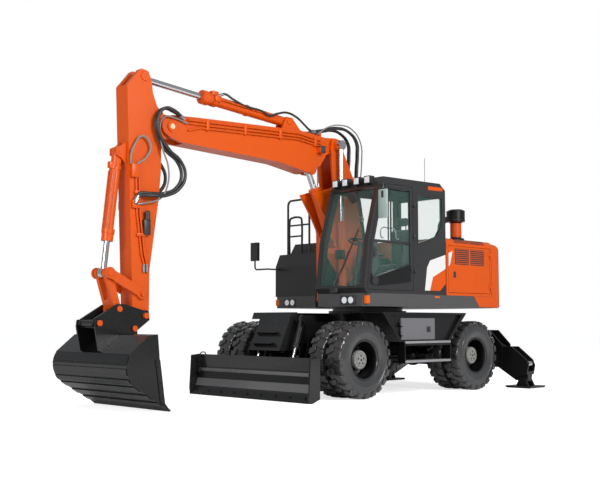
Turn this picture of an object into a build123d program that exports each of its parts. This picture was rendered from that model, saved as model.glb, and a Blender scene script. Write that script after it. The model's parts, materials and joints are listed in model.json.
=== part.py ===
from build123d import *
import os
from math import atan2, cos, hypot, pi, sin, tan

# A wheeled excavator of about 16 tonnes, in millimetres. +X points to the blade and the boom,
# +Y to the machine's left, where the cab is, and +Z up. The origin is on the ground, under the
# slewing axis. Every STEP file is one named piece of the machine.

# ---------------------------------------------------------------- fits and play
RUNNING_FIT = 0.05      # radial clearance of a pin in its bore
SEAT_GAP = 0.3          # between faces that seat on each other on different pieces
SIDE_PLAY = 5.0         # each side of an eye between its ears
DOOR_GAP = 6.0          # round a door in its opening

# ---------------------------------------------------------------- undercarriage
FRONT_AXLE_X = 1450.0
REAR_AXLE_X = -1100.0
TYRE_RADIUS = 526.0
TYRE_WIDTH = 275.0
TYRE_OUTER_Y = 1265.0   # outer face of the outer tyre of a pair
TWIN_GAP = 45.0         # between the two tyres of a pair
BEAD_RADIUS = 258.0
LUG_HEIGHT = 24.0
TYRE_SIDES = 24         # flats round a tyre, with a lug on each, left and right of the middle in turn
KINGPIN_Y = 720.0
SPINDLE_RADIUS = 75.0
FRAME_HALF_WIDTH = 380.0
FRAME_TOP_Z = 1040.0
FRAME_BOTTOM_Z = 740.0
BELLY_Z = 560.0
FRAME_FRONT_X = 1700.0
CARRIER_PLATE = 22.0    # thickness of the outrigger carrier's and the blade ears' plates
SLEW_RING_RADIUS = 600.0
SLEW_SPLIT_Z = 1205.0
CONSOLE_OUTER_Y = 1235.0

# ---------------------------------------------------------------- upper structure
DECK_BOTTOM_Z = 1250.0
DECK_TOP_Z = 1430.0
HALF_WIDTH = 1240.0
TAIL_RADIUS = 2100.0
HOUSING_REAR_X = -1540.0
HOUSING_FRONT_X = -375.0
HOOD_TOP_Z = 2290.0
SHEET = 40.0            # thickness of doors and housing walls
CAB_RIGHT_Y = 312.0
CAB_LEFT_Y = 1235.0
CAB_WALL = 45.0

# ---------------------------------------------------------------- pins of the working arm (x, z)
BOOM_FOOT = (280.0, 1750.0)
KNUCKLE = (830.0, 3660.0)
BOOM_TIP = (3860.0, 3510.0)
ARM_TIP = (4250.0, 1110.0)
IDLER_PIN = (4290.0, 1380.0)
BUCKET_ROD_PIN = (4750.0, 1620.0)
LINK_PIN = (4610.0, 1190.0)
BUCKET_PIN_FRONT = (4930.0, 1020.0)
BUCKET_PIN_REAR = (4440.0, 955.0)

# half widths of the arm's pieces
BASE_PLATE_Y = (120.0, 150.0)       # each side plate of the base boom
TONGUE_HALF = 112.0                 # front boom inside the base boom's fork
BOOM_HALF = 140.0
ARM_HALF = 125.0
ARM_ROOT_HALF = 84.0                # arm between the boom tip's ears
PIN_RADIUS = 40.0

# ---------------------------------------------------------------- blade and outriggers
BLADE_PIVOT = (1720.0, 400.0)
BLADE_ARM_Y = 360.0
BLADE_HALF_WIDTH = 1235.0
OUTRIGGER_X = -2150.0
OUTRIGGER_PIVOT = (955.0, 425.0)    # y, z
OUTRIGGER_FOOT = (1434.0, 130.0)    # y, z
OUTRIGGER_HALF = 105.0
CARRIER_HALF = OUTRIGGER_HALF + SIDE_PLAY + CARRIER_PLATE
FRAME_REAR_X = OUTRIGGER_X + CARRIER_HALF + SEAT_GAP

# hydraulic cylinders: base pin (x, z), rod pin (x, z), radius of barrel, rod and gland collar, and
# the shares of the pin distance at which the gland and the rod's inner end lie
CYLINDERS = {
    "lift": dict(base=(800, 1380), rod=KNUCKLE, barrel_r=58, rod_r=36, collar=6, gland=0.50, tail=0.31),
    "position": dict(base=(850, 2330), rod=(1300, 3260), barrel_r=75, rod_r=45, collar=10, gland=0.725,
                     tail=0.305),
    "arm": dict(base=(1750, 3900), rod=(4270, 4090), barrel_r=72, rod_r=42, collar=12, gland=0.615,
                tail=0.365),
    "bucket": dict(base=(4580, 3110), rod=BUCKET_ROD_PIN, barrel_r=62, rod_r=36, collar=10, gland=0.74,
                   tail=0.215),
    "blade": dict(base=(1760, 1085), rod=(1950, 500), barrel_r=40, rod_r=24, collar=8, gland=0.70,
                  tail=0.315),
}
LIFT_Y = 230.0
OUTRIGGER_CYLINDER = dict(base=(660, 820), rod=(1494, 375), barrel_r=48, rod_r=28, gland=0.56, tail=0.48)

# leaf hinges of doors and lids
HINGE_PIN_RADIUS = 8.0
HINGE_EYE_RADIUS = 14.0
HINGE_LIFT = 16.0       # hinge axis above the outer face
HINGE_WIDTH = 45.0

parts = {}


def add(node, *shapes):
    """Put the solids of some shapes in a node."""
    for shape in shapes:
        parts.setdefault(node, []).extend(shape.solids())


def block(x, y, z):
    """Box from three (low, high) pairs."""
    spans = [sorted(pair) for pair in (x, y, z)]
    centre = [(low + high) / 2 for low, high in spans]
    size = [high - low for low, high in spans]
    return Pos(*centre) * Box(*size)


def face_of(points, radii):
    """Flat face inside a closed outline, with rounded corners where radii says so."""
    if not radii:
        return make_face(Polyline(*points, close=True))
    return make_face(FilletPolyline(*points, radius=radii, close=True))


def side_plate(points, y, radii=0):
    """Outline in (x, z), extruded from y[0] to y[1]."""
    low, high = sorted(y)
    face = face_of([(px, low, pz) for px, pz in points], radii)
    return extrude(face, amount=high - low, dir=(0, 1, 0))


def top_plate(points, z, radii=0):
    """Outline in (x, y), extruded from z[0] to z[1]."""
    low, high = sorted(z)
    face = face_of([(px, py, low) for px, py in points], radii)
    return extrude(face, amount=high - low, dir=(0, 0, 1))


def front_plate(points, x, radii=0):
    """Outline in (y, z), extruded from x[0] to x[1]."""
    low, high = sorted(x)
    face = face_of([(low, py, pz) for py, pz in points], radii)
    return extrude(face, amount=high - low, dir=(1, 0, 0))


def bar(start, end, radius):
    """Round bar between two points."""
    axis = Vector(*end) - Vector(*start)
    return Solid.make_cylinder(radius, axis.length, Plane(origin=start, z_dir=axis))


def pin_y(point, y, radius):
    """Round bar along Y at a side-view point (x, z)."""
    return bar((point[0], y[0], point[1]), (point[0], y[1], point[1]), radius)


def pin_x(point, x, radius):
    """Round bar along X at a front-view point (y, z)."""
    return bar((x[0], point[0], point[1]), (x[1], point[0], point[1]), radius)


def tube(points, bend, radius):
    """Round bar bent along straight runs, each corner an arc of the bend radius."""
    path = FilletPolyline(*points, radius=bend)
    section = Plane(origin=path @ 0, z_dir=path % 0) * Circle(radius)
    return sweep(section, path=path)


def other_side(shape):
    """Mirror image on the machine's other side."""
    return mirror(shape, about=Plane.XZ)


def pair(shape):
    return [shape, other_side(shape)]


def ribbon(points, thickness):
    """Closed outline of a bent plate: the points, and the same line set in by the thickness."""
    inner = []
    for i, (x, z) in enumerate(points):
        before = points[max(i - 1, 0)]
        after = points[min(i + 1, len(points) - 1)]
        first = atan2(z - before[1], x - before[0]) if i else atan2(after[1] - z, after[0] - x)
        last = atan2(after[1] - z, after[0] - x) if i < len(points) - 1 else first
        turn = (last - first + pi) % (2 * pi) - pi
        heading = first + turn / 2 + pi / 2
        reach = thickness / cos(turn / 2)
        inner.append((x + reach * cos(heading), z + reach * sin(heading)))
    return list(points) + inner[::-1]


def along(start, end, share):
    """Point at a share of the way from start to end."""
    return tuple(a + (b - a) * share for a, b in zip(start, end))


def cylinder_pair(spec, to_3d):
    """Barrel and rod of a hydraulic cylinder, to_3d turning a flat point into a real one.

    The barrel's base eye is bored for its pin. The rod's eye is solid, beside or between its ears.
    """
    base = to_3d(spec["base"])
    rod_pin = to_3d(spec["rod"])
    gland = along(base, rod_pin, spec["gland"])
    neck = along(base, rod_pin, spec["gland"] - 0.06)
    length = (Vector(*rod_pin) - Vector(*base)).length
    bore_start = along(base, rod_pin, 1.4 * spec["barrel_r"] / length)
    tail = along(base, rod_pin, spec["tail"])
    return base, rod_pin, gland, neck, bore_start, tail


def hydraulic(spec, y, eye_half, base_pin_radius, rod_eye_radius, rod_eye_half=None):
    """Barrel and rod of a cylinder in an XZ plane at y, its eyes as wide as 2 * eye_half."""
    def to_3d(p):
        return (p[0], y, p[1])
    base, rod_pin, gland, neck, bore_start, tail = cylinder_pair(spec, to_3d)
    reach = (y - eye_half, y + eye_half)
    barrel = bar(base, gland, spec["barrel_r"])
    barrel += bar(neck, gland, spec["barrel_r"] + spec["collar"])
    barrel += pin_y(spec["base"], reach, base_pin_radius + 28)
    barrel -= pin_y(spec["base"], (reach[0] - 200, reach[1] + 200), base_pin_radius + RUNNING_FIT)
    for side in (reach[0] - 200, reach[1]):
        barrel -= pin_y(spec["base"], (side, side + 200), base_pin_radius + 112)
    barrel -= bar(bore_start, gland, spec["rod_r"] + RUNNING_FIT)
    half = rod_eye_half or eye_half
    rod = bar(tail, rod_pin, spec["rod_r"])
    rod += pin_y(spec["rod"], (y - half, y + half), rod_eye_radius)
    return barrel, rod


def leaf_hinge(door_edge, foot_y=-1):
    """Ear with its pin, and the eye turning on it: axis along Z, the door's outer face at y = 0.

    The door is towards +X, and the ear stands on its wall at foot_y.
    """
    axis_y = HINGE_LIFT
    ear = block((-30, 0), (foot_y, axis_y + HINGE_EYE_RADIUS), (-18, 0))
    ear += bar((0, axis_y, -18), (0, axis_y, 0), HINGE_EYE_RADIUS)
    ear += bar((0, axis_y, -18), (0, axis_y, HINGE_WIDTH + 3), HINGE_PIN_RADIUS)
    level = (SEAT_GAP, HINGE_WIDTH)
    eye = bar((0, axis_y, level[0]), (0, axis_y, level[1]), HINGE_EYE_RADIUS)
    eye += block((0, door_edge + 50), (3, 10), level)
    eye += block((door_edge + 2, door_edge + 50), (-1, 10), level)
    eye -= bar((0, axis_y, -20), (0, axis_y, HINGE_WIDTH + 20), HINGE_PIN_RADIUS + RUNNING_FIT)
    return ear, eye


# ================================================================ wheels
def tyre(outer_y):
    """One tyre standing at the origin, its outer face at outer_y: flats with slanted lugs on them."""
    half = TYRE_WIDTH / 2
    tread = half - 15
    root = TYRE_RADIUS - LUG_HEIGHT
    step = 360 / TYRE_SIDES
    reach = TYRE_RADIUS * tan(pi / TYRE_SIDES)
    # radius and width of bead, bulge and shoulder
    section = [
        (BEAD_RADIUS, -half + 32), (BEAD_RADIUS + 125, -half), (root, -tread),
        (root, tread), (BEAD_RADIUS + 125, half), (BEAD_RADIUS, half - 32),
    ]
    slab = extrude(make_face(Polyline(*[(-reach, y, -r) for r, y in section], close=True)), 2 * reach, dir=(1, 0, 0))
    sector = slab & side_plate([(0, 0), (-2 * reach, -2 * TYRE_RADIUS), (2 * reach, -2 * TYRE_RADIUS)], (-half, half))
    lug = top_plate([(-50, 4), (6, 4), (46, tread), (-10, tread)], (-TYRE_RADIUS, -root + 10))
    shoulder = [(tread - 35, -TYRE_RADIUS), (tread + 1, 18 - TYRE_RADIUS), (tread + 1, -TYRE_RADIUS - 1)]
    lug -= front_plate(shoulder, (-2 * reach, 2 * reach))
    turned = []
    for k in range(0, TYRE_SIDES, 2):
        turned.append(Rot(0, k * step, 0) * (sector + lug))
        turned.append(Rot(0, (k + 1) * step, 0) * (sector + other_side(lug)))
    return Pos(0, outer_y - half, 0) * turned[0].fuse(*turned[1:])


def rim_pair():
    """Twin rims bolted back to back on one hub, at the origin, open to the left."""
    wall = 14
    seat = BEAD_RADIUS - SEAT_GAP
    centre = TYRE_OUTER_Y - TYRE_WIDTH - TWIN_GAP / 2
    width = TYRE_WIDTH - 2 * 26
    rim = pin_y((0, 0), (centre - 12, centre + 12), seat)
    for low in (centre + TWIN_GAP / 2 + 26, centre - TWIN_GAP / 2 - 26 - width):
        rim += pin_y((0, 0), (low, low + width), seat)
        for edge in (low - 14, low + width):
            rim += pin_y((0, 0), (edge, edge + 14), seat + 14)
    rim += pin_y((0, 0), (centre - 60, centre + 60), seat)
    for low, high in ((centre + 14, TYRE_OUTER_Y), (KINGPIN_Y - 60, centre - 14)):
        rim -= pin_y((0, 0), (low, high), seat - wall)
    rim += pin_y((0, 0), (centre - 62, 1172), 133)
    rim -= pin_y((0, 0), (centre - 70, 1120), SPINDLE_RADIUS + RUNNING_FIT)
    return rim


def wheels():
    outer = tyre(TYRE_OUTER_Y)
    inner = tyre(TYRE_OUTER_Y - TYRE_WIDTH - TWIN_GAP)
    rims = rim_pair()
    for end, x in (("front", FRONT_AXLE_X), ("rear", REAR_AXLE_X)):
        for side in ("left", "right"):
            for name, shapes in (("tyres", (outer, inner)), ("rims", (rims,))):
                for shape in shapes:
                    placed = shape if side == "left" else other_side(shape)
                    add(f"{name}_{end}_{side}", Pos(x, 0, TYRE_RADIUS) * placed)


# ================================================================ axles
YOKE_Y = (655.0, 785.0)
YOKE_REACH = 188.0
KNUCKLE_REACH = 128.0
KINGPIN_RADIUS = 28.0


PINION_REACH = 240.0


def axle_beam(half_length, radius, pinion_x):
    """Beam with its differential, a saddle up to the frame, and the pinion's neck along X."""
    beam = bar((0, -half_length, 0), (0, half_length, 0), radius)
    beam += Sphere(190)
    beam += block((-130, 130), (-200, 200), (0, FRAME_BOTTOM_Z - SEAT_GAP - TYRE_RADIUS))
    beam += bar((0, 0, 0), (pinion_x, 0, 0), 70)
    return beam


def axles():
    front = axle_beam(YOKE_Y[0] + 20, 88, -PINION_REACH)
    for side in (1, -1):
        yoke = block((-70, 70), (side * (YOKE_Y[0] - 20), side * YOKE_Y[0]), (-YOKE_REACH, YOKE_REACH))
        for sign in (1, -1):
            level = (sign * (KNUCKLE_REACH + SIDE_PLAY), sign * YOKE_REACH)
            yoke += block((-70, 70), (side * YOKE_Y[0], side * KINGPIN_Y), level)
            low, high = sorted(level)
            yoke += bar((0, side * KINGPIN_Y, low), (0, side * KINGPIN_Y, high), 65)
        yoke += bar((0, side * KINGPIN_Y, -YOKE_REACH), (0, side * KINGPIN_Y, YOKE_REACH), KINGPIN_RADIUS)
        front += yoke
    front -= block((-300, 300), (YOKE_Y[0], 900), (-KNUCKLE_REACH - SIDE_PLAY, KNUCKLE_REACH + SIDE_PLAY)) \
        - bar((0, KINGPIN_Y, -300), (0, KINGPIN_Y, 300), KINGPIN_RADIUS)
    front -= block((-300, 300), (-900, -YOKE_Y[0]), (-KNUCKLE_REACH - SIDE_PLAY, KNUCKLE_REACH + SIDE_PLAY)) \
        - bar((0, -KINGPIN_Y, -300), (0, -KINGPIN_Y, 300), KINGPIN_RADIUS)
    add("front_axle", Pos(FRONT_AXLE_X, 0, TYRE_RADIUS) * front)

    rear = axle_beam(830, 100, PINION_REACH)
    rear += bar((0, -1100, 0), (0, 1100, 0), SPINDLE_RADIUS)
    add("rear_axle", Pos(REAR_AXLE_X, 0, TYRE_RADIUS) * rear)

    knuckle = bar((0, KINGPIN_Y, -KNUCKLE_REACH), (0, KINGPIN_Y, KNUCKLE_REACH), 60)
    knuckle += block((-60, 60), (KINGPIN_Y, 820), (-KNUCKLE_REACH, KNUCKLE_REACH))
    knuckle += bar((0, 800, 0), (0, 1100, 0), SPINDLE_RADIUS)
    knuckle -= bar((0, KINGPIN_Y, -300), (0, KINGPIN_Y, 300), KINGPIN_RADIUS + RUNNING_FIT)
    placed = Pos(FRONT_AXLE_X, 0, TYRE_RADIUS) * knuckle
    add("knuckle_left", placed)
    add("knuckle_right", other_side(placed))


def driveline():
    """Two-speed gearbox under the frame, and its shafts to both axles' pinions."""
    box = block((-300, 200), (-160, 160), (410, BELLY_Z - SEAT_GAP))
    for x, end in ((-250, REAR_AXLE_X + PINION_REACH), (150, FRONT_AXLE_X - PINION_REACH)):
        back = 1 if end < x else -1
        box += bar((x, 0, 490), (end + back * 25, 0, TYRE_RADIUS), 30)
        box += bar((end + back * SEAT_GAP, 0, TYRE_RADIUS), (end + back * 50, 0, TYRE_RADIUS), 62)
    add("driveline", box)


# ================================================================ chassis
def chassis():
    spine = [
        (FRAME_REAR_X, FRAME_BOTTOM_Z), (-760, FRAME_BOTTOM_Z), (-620, BELLY_Z), (1010, BELLY_Z),
        (1130, FRAME_BOTTOM_Z), (FRAME_FRONT_X, FRAME_BOTTOM_Z), (FRAME_FRONT_X, 1130),
        (1560, 1130), (1500, FRAME_TOP_Z), (FRAME_REAR_X, FRAME_TOP_Z),
    ]
    frame = side_plate(spine, (-FRAME_HALF_WIDTH, FRAME_HALF_WIDTH))
    # blade pivot ears, their pins, and the ears above them for the blade cylinders
    ear = [(1565, 760), (1580, 360), (1640, 325), (1790, 330), (1815, 420), (1760, 560), (1699, 760)]
    inner = BLADE_ARM_Y - 45 - SIDE_PLAY
    outer = BLADE_ARM_Y + 45 + SIDE_PLAY
    ears = side_plate(ear, (inner - CARRIER_PLATE, inner)) + side_plate(ear, (outer, outer + CARRIER_PLATE))
    ears += pin_y(BLADE_PIVOT, (inner - CARRIER_PLATE, outer + CARRIER_PLATE), 35)
    top = [(1690, 990), (1690, 1130), (1790, 1130), (1805, 1060), (1760, 990)]
    for low, high in ((inner + 8, inner + 24), (outer - 24, outer - 8)):
        ears += side_plate(top, (low, high))
    ears += pin_y(CYLINDERS["blade"]["base"], (inner + 8, outer - 8), 20)
    for shape in pair(ears):
        frame += shape
    ring = bar((0, 0, FRAME_TOP_Z + SEAT_GAP), (0, 0, SLEW_SPLIT_Z), SLEW_RING_RADIUS)
    # outrigger carrier: two cross plates with a box between them
    outline = [
        (-1085, 380), (-1000, 310), (1000, 310), (1085, 380), (1085, 680), (860, 905), (-860, 905),
        (-1085, 680),
    ]
    near = CARRIER_HALF - CARRIER_PLATE
    carrier = block((OUTRIGGER_X - near, OUTRIGGER_X + near), (-520, 520), (330, 890))
    for low, high in ((near, CARRIER_HALF), (-CARRIER_HALF, -near)):
        carrier += front_plate(outline, (OUTRIGGER_X + low, OUTRIGGER_X + high))
    for side in (1, -1):
        pivot = (side * OUTRIGGER_PIVOT[0], OUTRIGGER_PIVOT[1])
        carrier += pin_x(pivot, (OUTRIGGER_X - near - 30, OUTRIGGER_X + near + 20), 32)
        base = (side * OUTRIGGER_CYLINDER["base"][0], OUTRIGGER_CYLINDER["base"][1])
        carrier += pin_x(base, (OUTRIGGER_X - near - 10, OUTRIGGER_X + near + 10), 22)
    # tie-down eyes on the carrier's back plate
    for y in (-420, 420):
        eye = block((OUTRIGGER_X - near - 90, OUTRIGGER_X - near - 20), (y - 15, y + 15), (560, 680))
        carrier += eye - pin_y((OUTRIGGER_X - near - 60, 620), (y - 50, y + 50), 25)
    add("chassis_frame", frame, ring, carrier)


CONSOLE_DOOR_X = (-110.0, 655.0)
CONSOLE_DOOR_Z = (785.0, 1090.0)
CONSOLE_HINGE_X = 665.0
CONSOLE_HINGE_Z = (850.0, 980.0)


def consoles():
    """Tool boxes between the wheels, with a step plate and a hung lower step."""
    inner_y = FRAME_HALF_WIDTH + SEAT_GAP
    shell = [(-760, 1150), (970, 1150), (700, 770), (-440, 770)]
    body = side_plate(shell, (inner_y, CONSOLE_OUTER_Y - 45))
    hollow = block(
        (CONSOLE_DOOR_X[0] + 10, CONSOLE_DOOR_X[1] - 10),
        (720, CONSOLE_OUTER_Y),
        (CONSOLE_DOOR_Z[0] + 10, CONSOLE_DOOR_Z[1] - 10),
    )
    body -= bar((0, 0, FRAME_TOP_Z - 25), (0, 0, DECK_BOTTOM_Z), SLEW_RING_RADIUS + 8)
    flange = [(-860, 1172), (1070, 1172), (1070, 1160), (700, 758), (-440, 758), (-860, 1160)]
    hole = [(-745, 1140), (945, 1140), (672, 772), (-412, 772)]
    body += side_plate(flange, (inner_y + 240, CONSOLE_OUTER_Y)) - side_plate(hole, (0, 2000)) \
        - side_plate(shell, (0, CONSOLE_OUTER_Y - 45))
    step = block((-450, 620), (CONSOLE_OUTER_Y - 250, CONSOLE_OUTER_Y + 15), (700, 758))
    lower = block((-450, 620), (CONSOLE_OUTER_Y - 200, CONSOLE_OUTER_Y + 15), (455, 487))
    body += step + lower
    for x in (-450, 605):
        body += block((x, x + 15), (CONSOLE_OUTER_Y - 120, CONSOLE_OUTER_Y + 15), (455, 730))
    closed = body
    body -= hollow
    door = block(
        CONSOLE_DOOR_X, (CONSOLE_OUTER_Y - 45 + SEAT_GAP, CONSOLE_OUTER_Y - 20), CONSOLE_DOOR_Z
    )
    latch = block((5, 75), (CONSOLE_OUTER_Y - 21, CONSOLE_OUTER_Y - 12), (895, 965))
    door += latch
    ear, eye = leaf_hinge(CONSOLE_HINGE_X - CONSOLE_DOOR_X[1], foot_y=-26)
    for z in CONSOLE_HINGE_Z:
        place = Pos(CONSOLE_HINGE_X, CONSOLE_OUTER_Y - 20, z)
        body += place * mirror(ear, about=Plane.YZ)
        door += place * mirror(eye, about=Plane.YZ)
    add("side_console_left", body)
    add("toolbox_door_left", door)
    add("side_console_right", other_side(closed))


STEP_BOX_Y = (-430.0, 200.0)        # clear of the right tyre at full lock
STEP_LEDGE_Y = -600.0               # its top ledge reaches over that tyre


def front_step_box():
    """Sheet cover in front of the right blade cylinder: a ledge, and a sloped front with two steps."""
    x0 = FRAME_FRONT_X + SEAT_GAP
    ledge_z = 2 * TYRE_RADIUS + 25
    front = [(x0, 1172), (1815, 1172), (1885, 990), (2052, 640)]
    skin = side_plate(ribbon(front[::-1], 10), STEP_BOX_Y)
    side = front + [(x0 + 60, 640), (x0 + 20, 780), (x0, 780)]
    skin += side_plate(side, (STEP_BOX_Y[1] - 10, STEP_BOX_Y[1]))
    skin += side_plate(side, (STEP_BOX_Y[0], STEP_BOX_Y[0] + 10))
    ledge = [(x0, 1172), (1815, 1172), (1852, ledge_z), (x0, ledge_z)]
    skin += side_plate(ledge, (STEP_LEDGE_Y, STEP_BOX_Y[0] + 5))
    for x, z in ((1905, 900), (1980, 750)):
        skin += block((x, x + 100), (STEP_BOX_Y[0] + 30, 60), (z - 14, z))
    add("front_step_box", skin)


# ================================================================ blade
def blade():
    board = [
        (2440, 0), (2484, 0), (2400, 120), (2345, 260), (2335, 400), (2352, 570), (2300, 570),
        (2292, 150),
    ]
    reach = BLADE_HALF_WIDTH - 20
    shape = side_plate(board, (-reach, reach))
    end = [(2300, 50), (2300, 575), (2470, 560), (2496, 90), (2484, 0), (2440, 0)]
    for low, high in ((reach, reach + 20), (-reach - 20, -reach)):
        shape += side_plate(end, (low, high))
    arm = [
        (1660, 400), (1690, 460), (1890, 545), (1950, 560), (2010, 520), (2050, 420), (2310, 420),
        (2310, 150), (1760, 345), (1700, 345),
    ]
    for side in (1, -1):
        span = (side * (BLADE_ARM_Y - 45), side * (BLADE_ARM_Y + 45))
        one = side_plate(arm, span)
        slot = (side * (BLADE_ARM_Y - 28), side * (BLADE_ARM_Y + 28))
        one -= side_plate([(1800, 480), (1800, 700), (2100, 700), (2100, 430), (1900, 400)], slot)
        one -= pin_y(BLADE_PIVOT, (side * 200, side * 500), 35 + RUNNING_FIT)
        shape += one
    shape += bar((2210, -BLADE_ARM_Y, 285), (2210, BLADE_ARM_Y, 285), 55)
    add("blade", shape)
    for side in (1, -1):
        barrel, rod = hydraulic(CYLINDERS["blade"], side * BLADE_ARM_Y, 22, 20, 40)
        add("blade_cylinder_barrels", barrel)
        add("blade_cylinder_rods", rod)


# ================================================================ outriggers
def outriggers():
    leg_outline = [
        (915, 400), (955, 640), (1255, 645), (1520, 440), (1555, 350), (1500, 90), (1385, 78),
        (1330, 112), (930, 350),
    ]
    half = OUTRIGGER_HALF
    foot = OUTRIGGER_FOOT
    spec = OUTRIGGER_CYLINDER
    leg = front_plate(leg_outline, (-half, half), radii=[20] * 9)
    leg -= front_plate(
        [(880, 470), (1150, 400), (1560, 250), (1620, 500), (1400, 800), (880, 800)],
        (-half + 25, half - 25),
    )
    leg -= pin_x(OUTRIGGER_PIVOT, (-200, 200), 32 + RUNNING_FIT)
    leg -= pin_x(foot, (-200, 200), 28 + RUNNING_FIT)
    for low, high in ((-half - 1, -half + 45), (half - 45, half + 1)):
        leg -= front_plate([(1330, -20), (1330, 175), (1560, 215), (1560, -20)], (low, high))
    pad_half = 225
    pad = front_plate(
        [(foot[0] - pad_half, 26), (foot[0] - pad_half + 18, 0), (foot[0] + pad_half - 18, 0),
         (foot[0] + pad_half, 26), (foot[0] + pad_half, 34), (foot[0] - pad_half, 34)],
        (-pad_half, pad_half),
    )
    for low, high in ((-half + 3, -half + 40), (half - 40, half - 3)):
        ear = [(foot[0] - 110, 30), (foot[0] - 45, 155), (foot[0] + 45, 155), (foot[0] + 110, 30)]
        pad += front_plate(ear, (low, high))
    pad += pin_x(foot, (-half + 3, half - 3), 28)
    base = (0, *spec["base"])
    rod_pin = (0, *spec["rod"])
    gland = along(base, rod_pin, spec["gland"])
    length = (Vector(*rod_pin) - Vector(*base)).length
    barrel = bar(base, gland, spec["barrel_r"])
    barrel += pin_x(spec["base"], (-45, 45), 50)
    barrel -= pin_x(spec["base"], (-90, 90), 22 + RUNNING_FIT)
    barrel -= bar(along(base, rod_pin, 80 / length), gland, spec["rod_r"] + RUNNING_FIT)
    rod = bar(along(base, rod_pin, 0.48), rod_pin, spec["rod_r"])
    rod += pin_x(spec["rod"], (-50, 50), 45)
    moved = {"leg": leg, "pad": pad, "barrel": barrel, "rod": rod}
    for name, shape in moved.items():
        placed = Pos(OUTRIGGER_X, 0, 0) * shape
        add(f"outrigger_{name}_left", placed)
        add(f"outrigger_{name}_right", other_side(placed))


# ================================================================ upper structure
def upper_frame():
    outline = [
        (HOUSING_REAR_X, HALF_WIDTH), (1290, HALF_WIDTH), (1400, HALF_WIDTH - 90), (1420, 330),
        (640, 330), (640, -330), (810, -330), (810, -HALF_WIDTH + 60), (760, -HALF_WIDTH),
        (HOUSING_REAR_X, -HALF_WIDTH),
    ]
    deck = top_plate(outline, (DECK_BOTTOM_Z, DECK_TOP_Z))
    deck += bar((0, 0, SLEW_SPLIT_Z + SEAT_GAP), (0, 0, DECK_BOTTOM_Z + 5), SLEW_RING_RADIUS - 60)
    bracket = [
        (-250, 1400), (150, 1870), (280, 1890), (410, 1830), (640, 1500), (850, 1450), (900, 1400),
        (860, 1300), (600, 1262), (-250, 1262),
    ]
    lift_base = CYLINDERS["lift"]["base"]
    for side in (1, -1):
        deck += side_plate(bracket, (side * 170, side * 200), radii=[0, 60, 60, 60, 60, 30, 30, 30, 0, 0])
        deck += pin_y(lift_base, (side * 200, side * 262), 34)
        deck += pin_y(lift_base, (side * 259, side * 268), 52)
    deck += pin_y(BOOM_FOOT, (-215, 215), 45)
    add("upper_frame", deck)


def counterweight():
    front_x = HOUSING_REAR_X - SEAT_GAP
    corner = (-1900, 1075)
    arc = ThreePointArc((corner[0], corner[1], 0), (-TAIL_RADIUS, 0, 0), (corner[0], -corner[1], 0))
    path = arc + Polyline(
        (corner[0], -corner[1], 0), (-1740, -HALF_WIDTH, 0), (front_x, -HALF_WIDTH, 0),
        (front_x, HALF_WIDTH, 0), (-1740, HALF_WIDTH, 0), (corner[0], corner[1], 0),
    )
    face = Pos(0, 0, DECK_BOTTOM_Z + 5) * make_face(path)
    add("counterweight", extrude(face, amount=HOOD_TOP_Z - DECK_BOTTOM_Z - 25, dir=(0, 0, 1)))


ENGINE_DOOR_X = (-1500.0, -420.0)
ENGINE_DOOR_Z = (1470.0, 2180.0)
HOOD_LID_X = (-1380.0, -520.0)
HOOD_LID_Y = (-760.0, 560.0)
ENGINE_HINGE_Z = (1560.0, 2060.0)
HOOD_HINGE_Y = (-500.0, 340.0)
PRE_CLEANER = (-1150.0, 850.0)      # x, y
EXHAUST = (-800.0, 820.0)           # x, y


def engine_bay():
    low_z = DECK_TOP_Z + SEAT_GAP
    outer = block((HOUSING_REAR_X, HOUSING_FRONT_X), (-HALF_WIDTH, HALF_WIDTH), (low_z, HOOD_TOP_Z))
    inner = block(
        (HOUSING_REAR_X + SHEET, HOUSING_FRONT_X - SHEET),
        (-HALF_WIDTH + SHEET, HALF_WIDTH - SHEET),
        (low_z - 1, HOOD_TOP_Z - SHEET),
    )
    housing = outer - inner
    housing -= block(ENGINE_DOOR_X, (-2000, 2000), ENGINE_DOOR_Z)
    housing -= block(HOOD_LID_X, HOOD_LID_Y, (HOOD_TOP_Z - 100, HOOD_TOP_Z + 100))
    ear, eye = leaf_hinge(DOOR_GAP)
    door_hinges = [Pos(ENGINE_DOOR_X[0], HALF_WIDTH, z) for z in ENGINE_HINGE_Z]
    lid_hinges = [Pos(HOOD_LID_X[0], y, HOOD_TOP_Z) * Rot(90, 0, 0) for y in HOOD_HINGE_Y]
    for place in door_hinges:
        for shape in pair(place * ear):
            housing += shape
    for place in lid_hinges:
        housing += place * ear
    add("engine_housing", housing)
    door_x = (ENGINE_DOOR_X[0] + DOOR_GAP, ENGINE_DOOR_X[1] - DOOR_GAP)
    door_z = (ENGINE_DOOR_Z[0] + DOOR_GAP, ENGINE_DOOR_Z[1] - DOOR_GAP)
    door = block(door_x, (HALF_WIDTH - SHEET, HALF_WIDTH), door_z)
    for k in range(6):
        z = 1985 + 28 * k
        for x in (-1330, -930):
            door -= block((x, x + 330), (HALF_WIDTH - SHEET / 2, HALF_WIDTH + 5), (z, z + 14))
    for place in door_hinges:
        door += place * eye
    add("engine_door_left", door)
    add("engine_door_right", other_side(door))
    lid = block(
        (HOOD_LID_X[0] + DOOR_GAP, HOOD_LID_X[1] - DOOR_GAP),
        (HOOD_LID_Y[0] + DOOR_GAP, HOOD_LID_Y[1] - DOOR_GAP),
        (HOOD_TOP_Z - SHEET, HOOD_TOP_Z),
    )
    for k in range(8):
        x = -1300 + 44 * k
        for y in (-60, 250):
            lid -= block((x, x + 20), (y, y + 250), (HOOD_TOP_Z - SHEET / 2, HOOD_TOP_Z + 5))
    for place in lid_hinges:
        lid += place * eye
    add("hood_lid", lid)
    engine = block((-1330, -560), (-520, 560), (low_z, 2120))
    add("engine", engine)


TANK_FRONT_X = 790.0
TANK_STEP_Z = 2100.0


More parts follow.
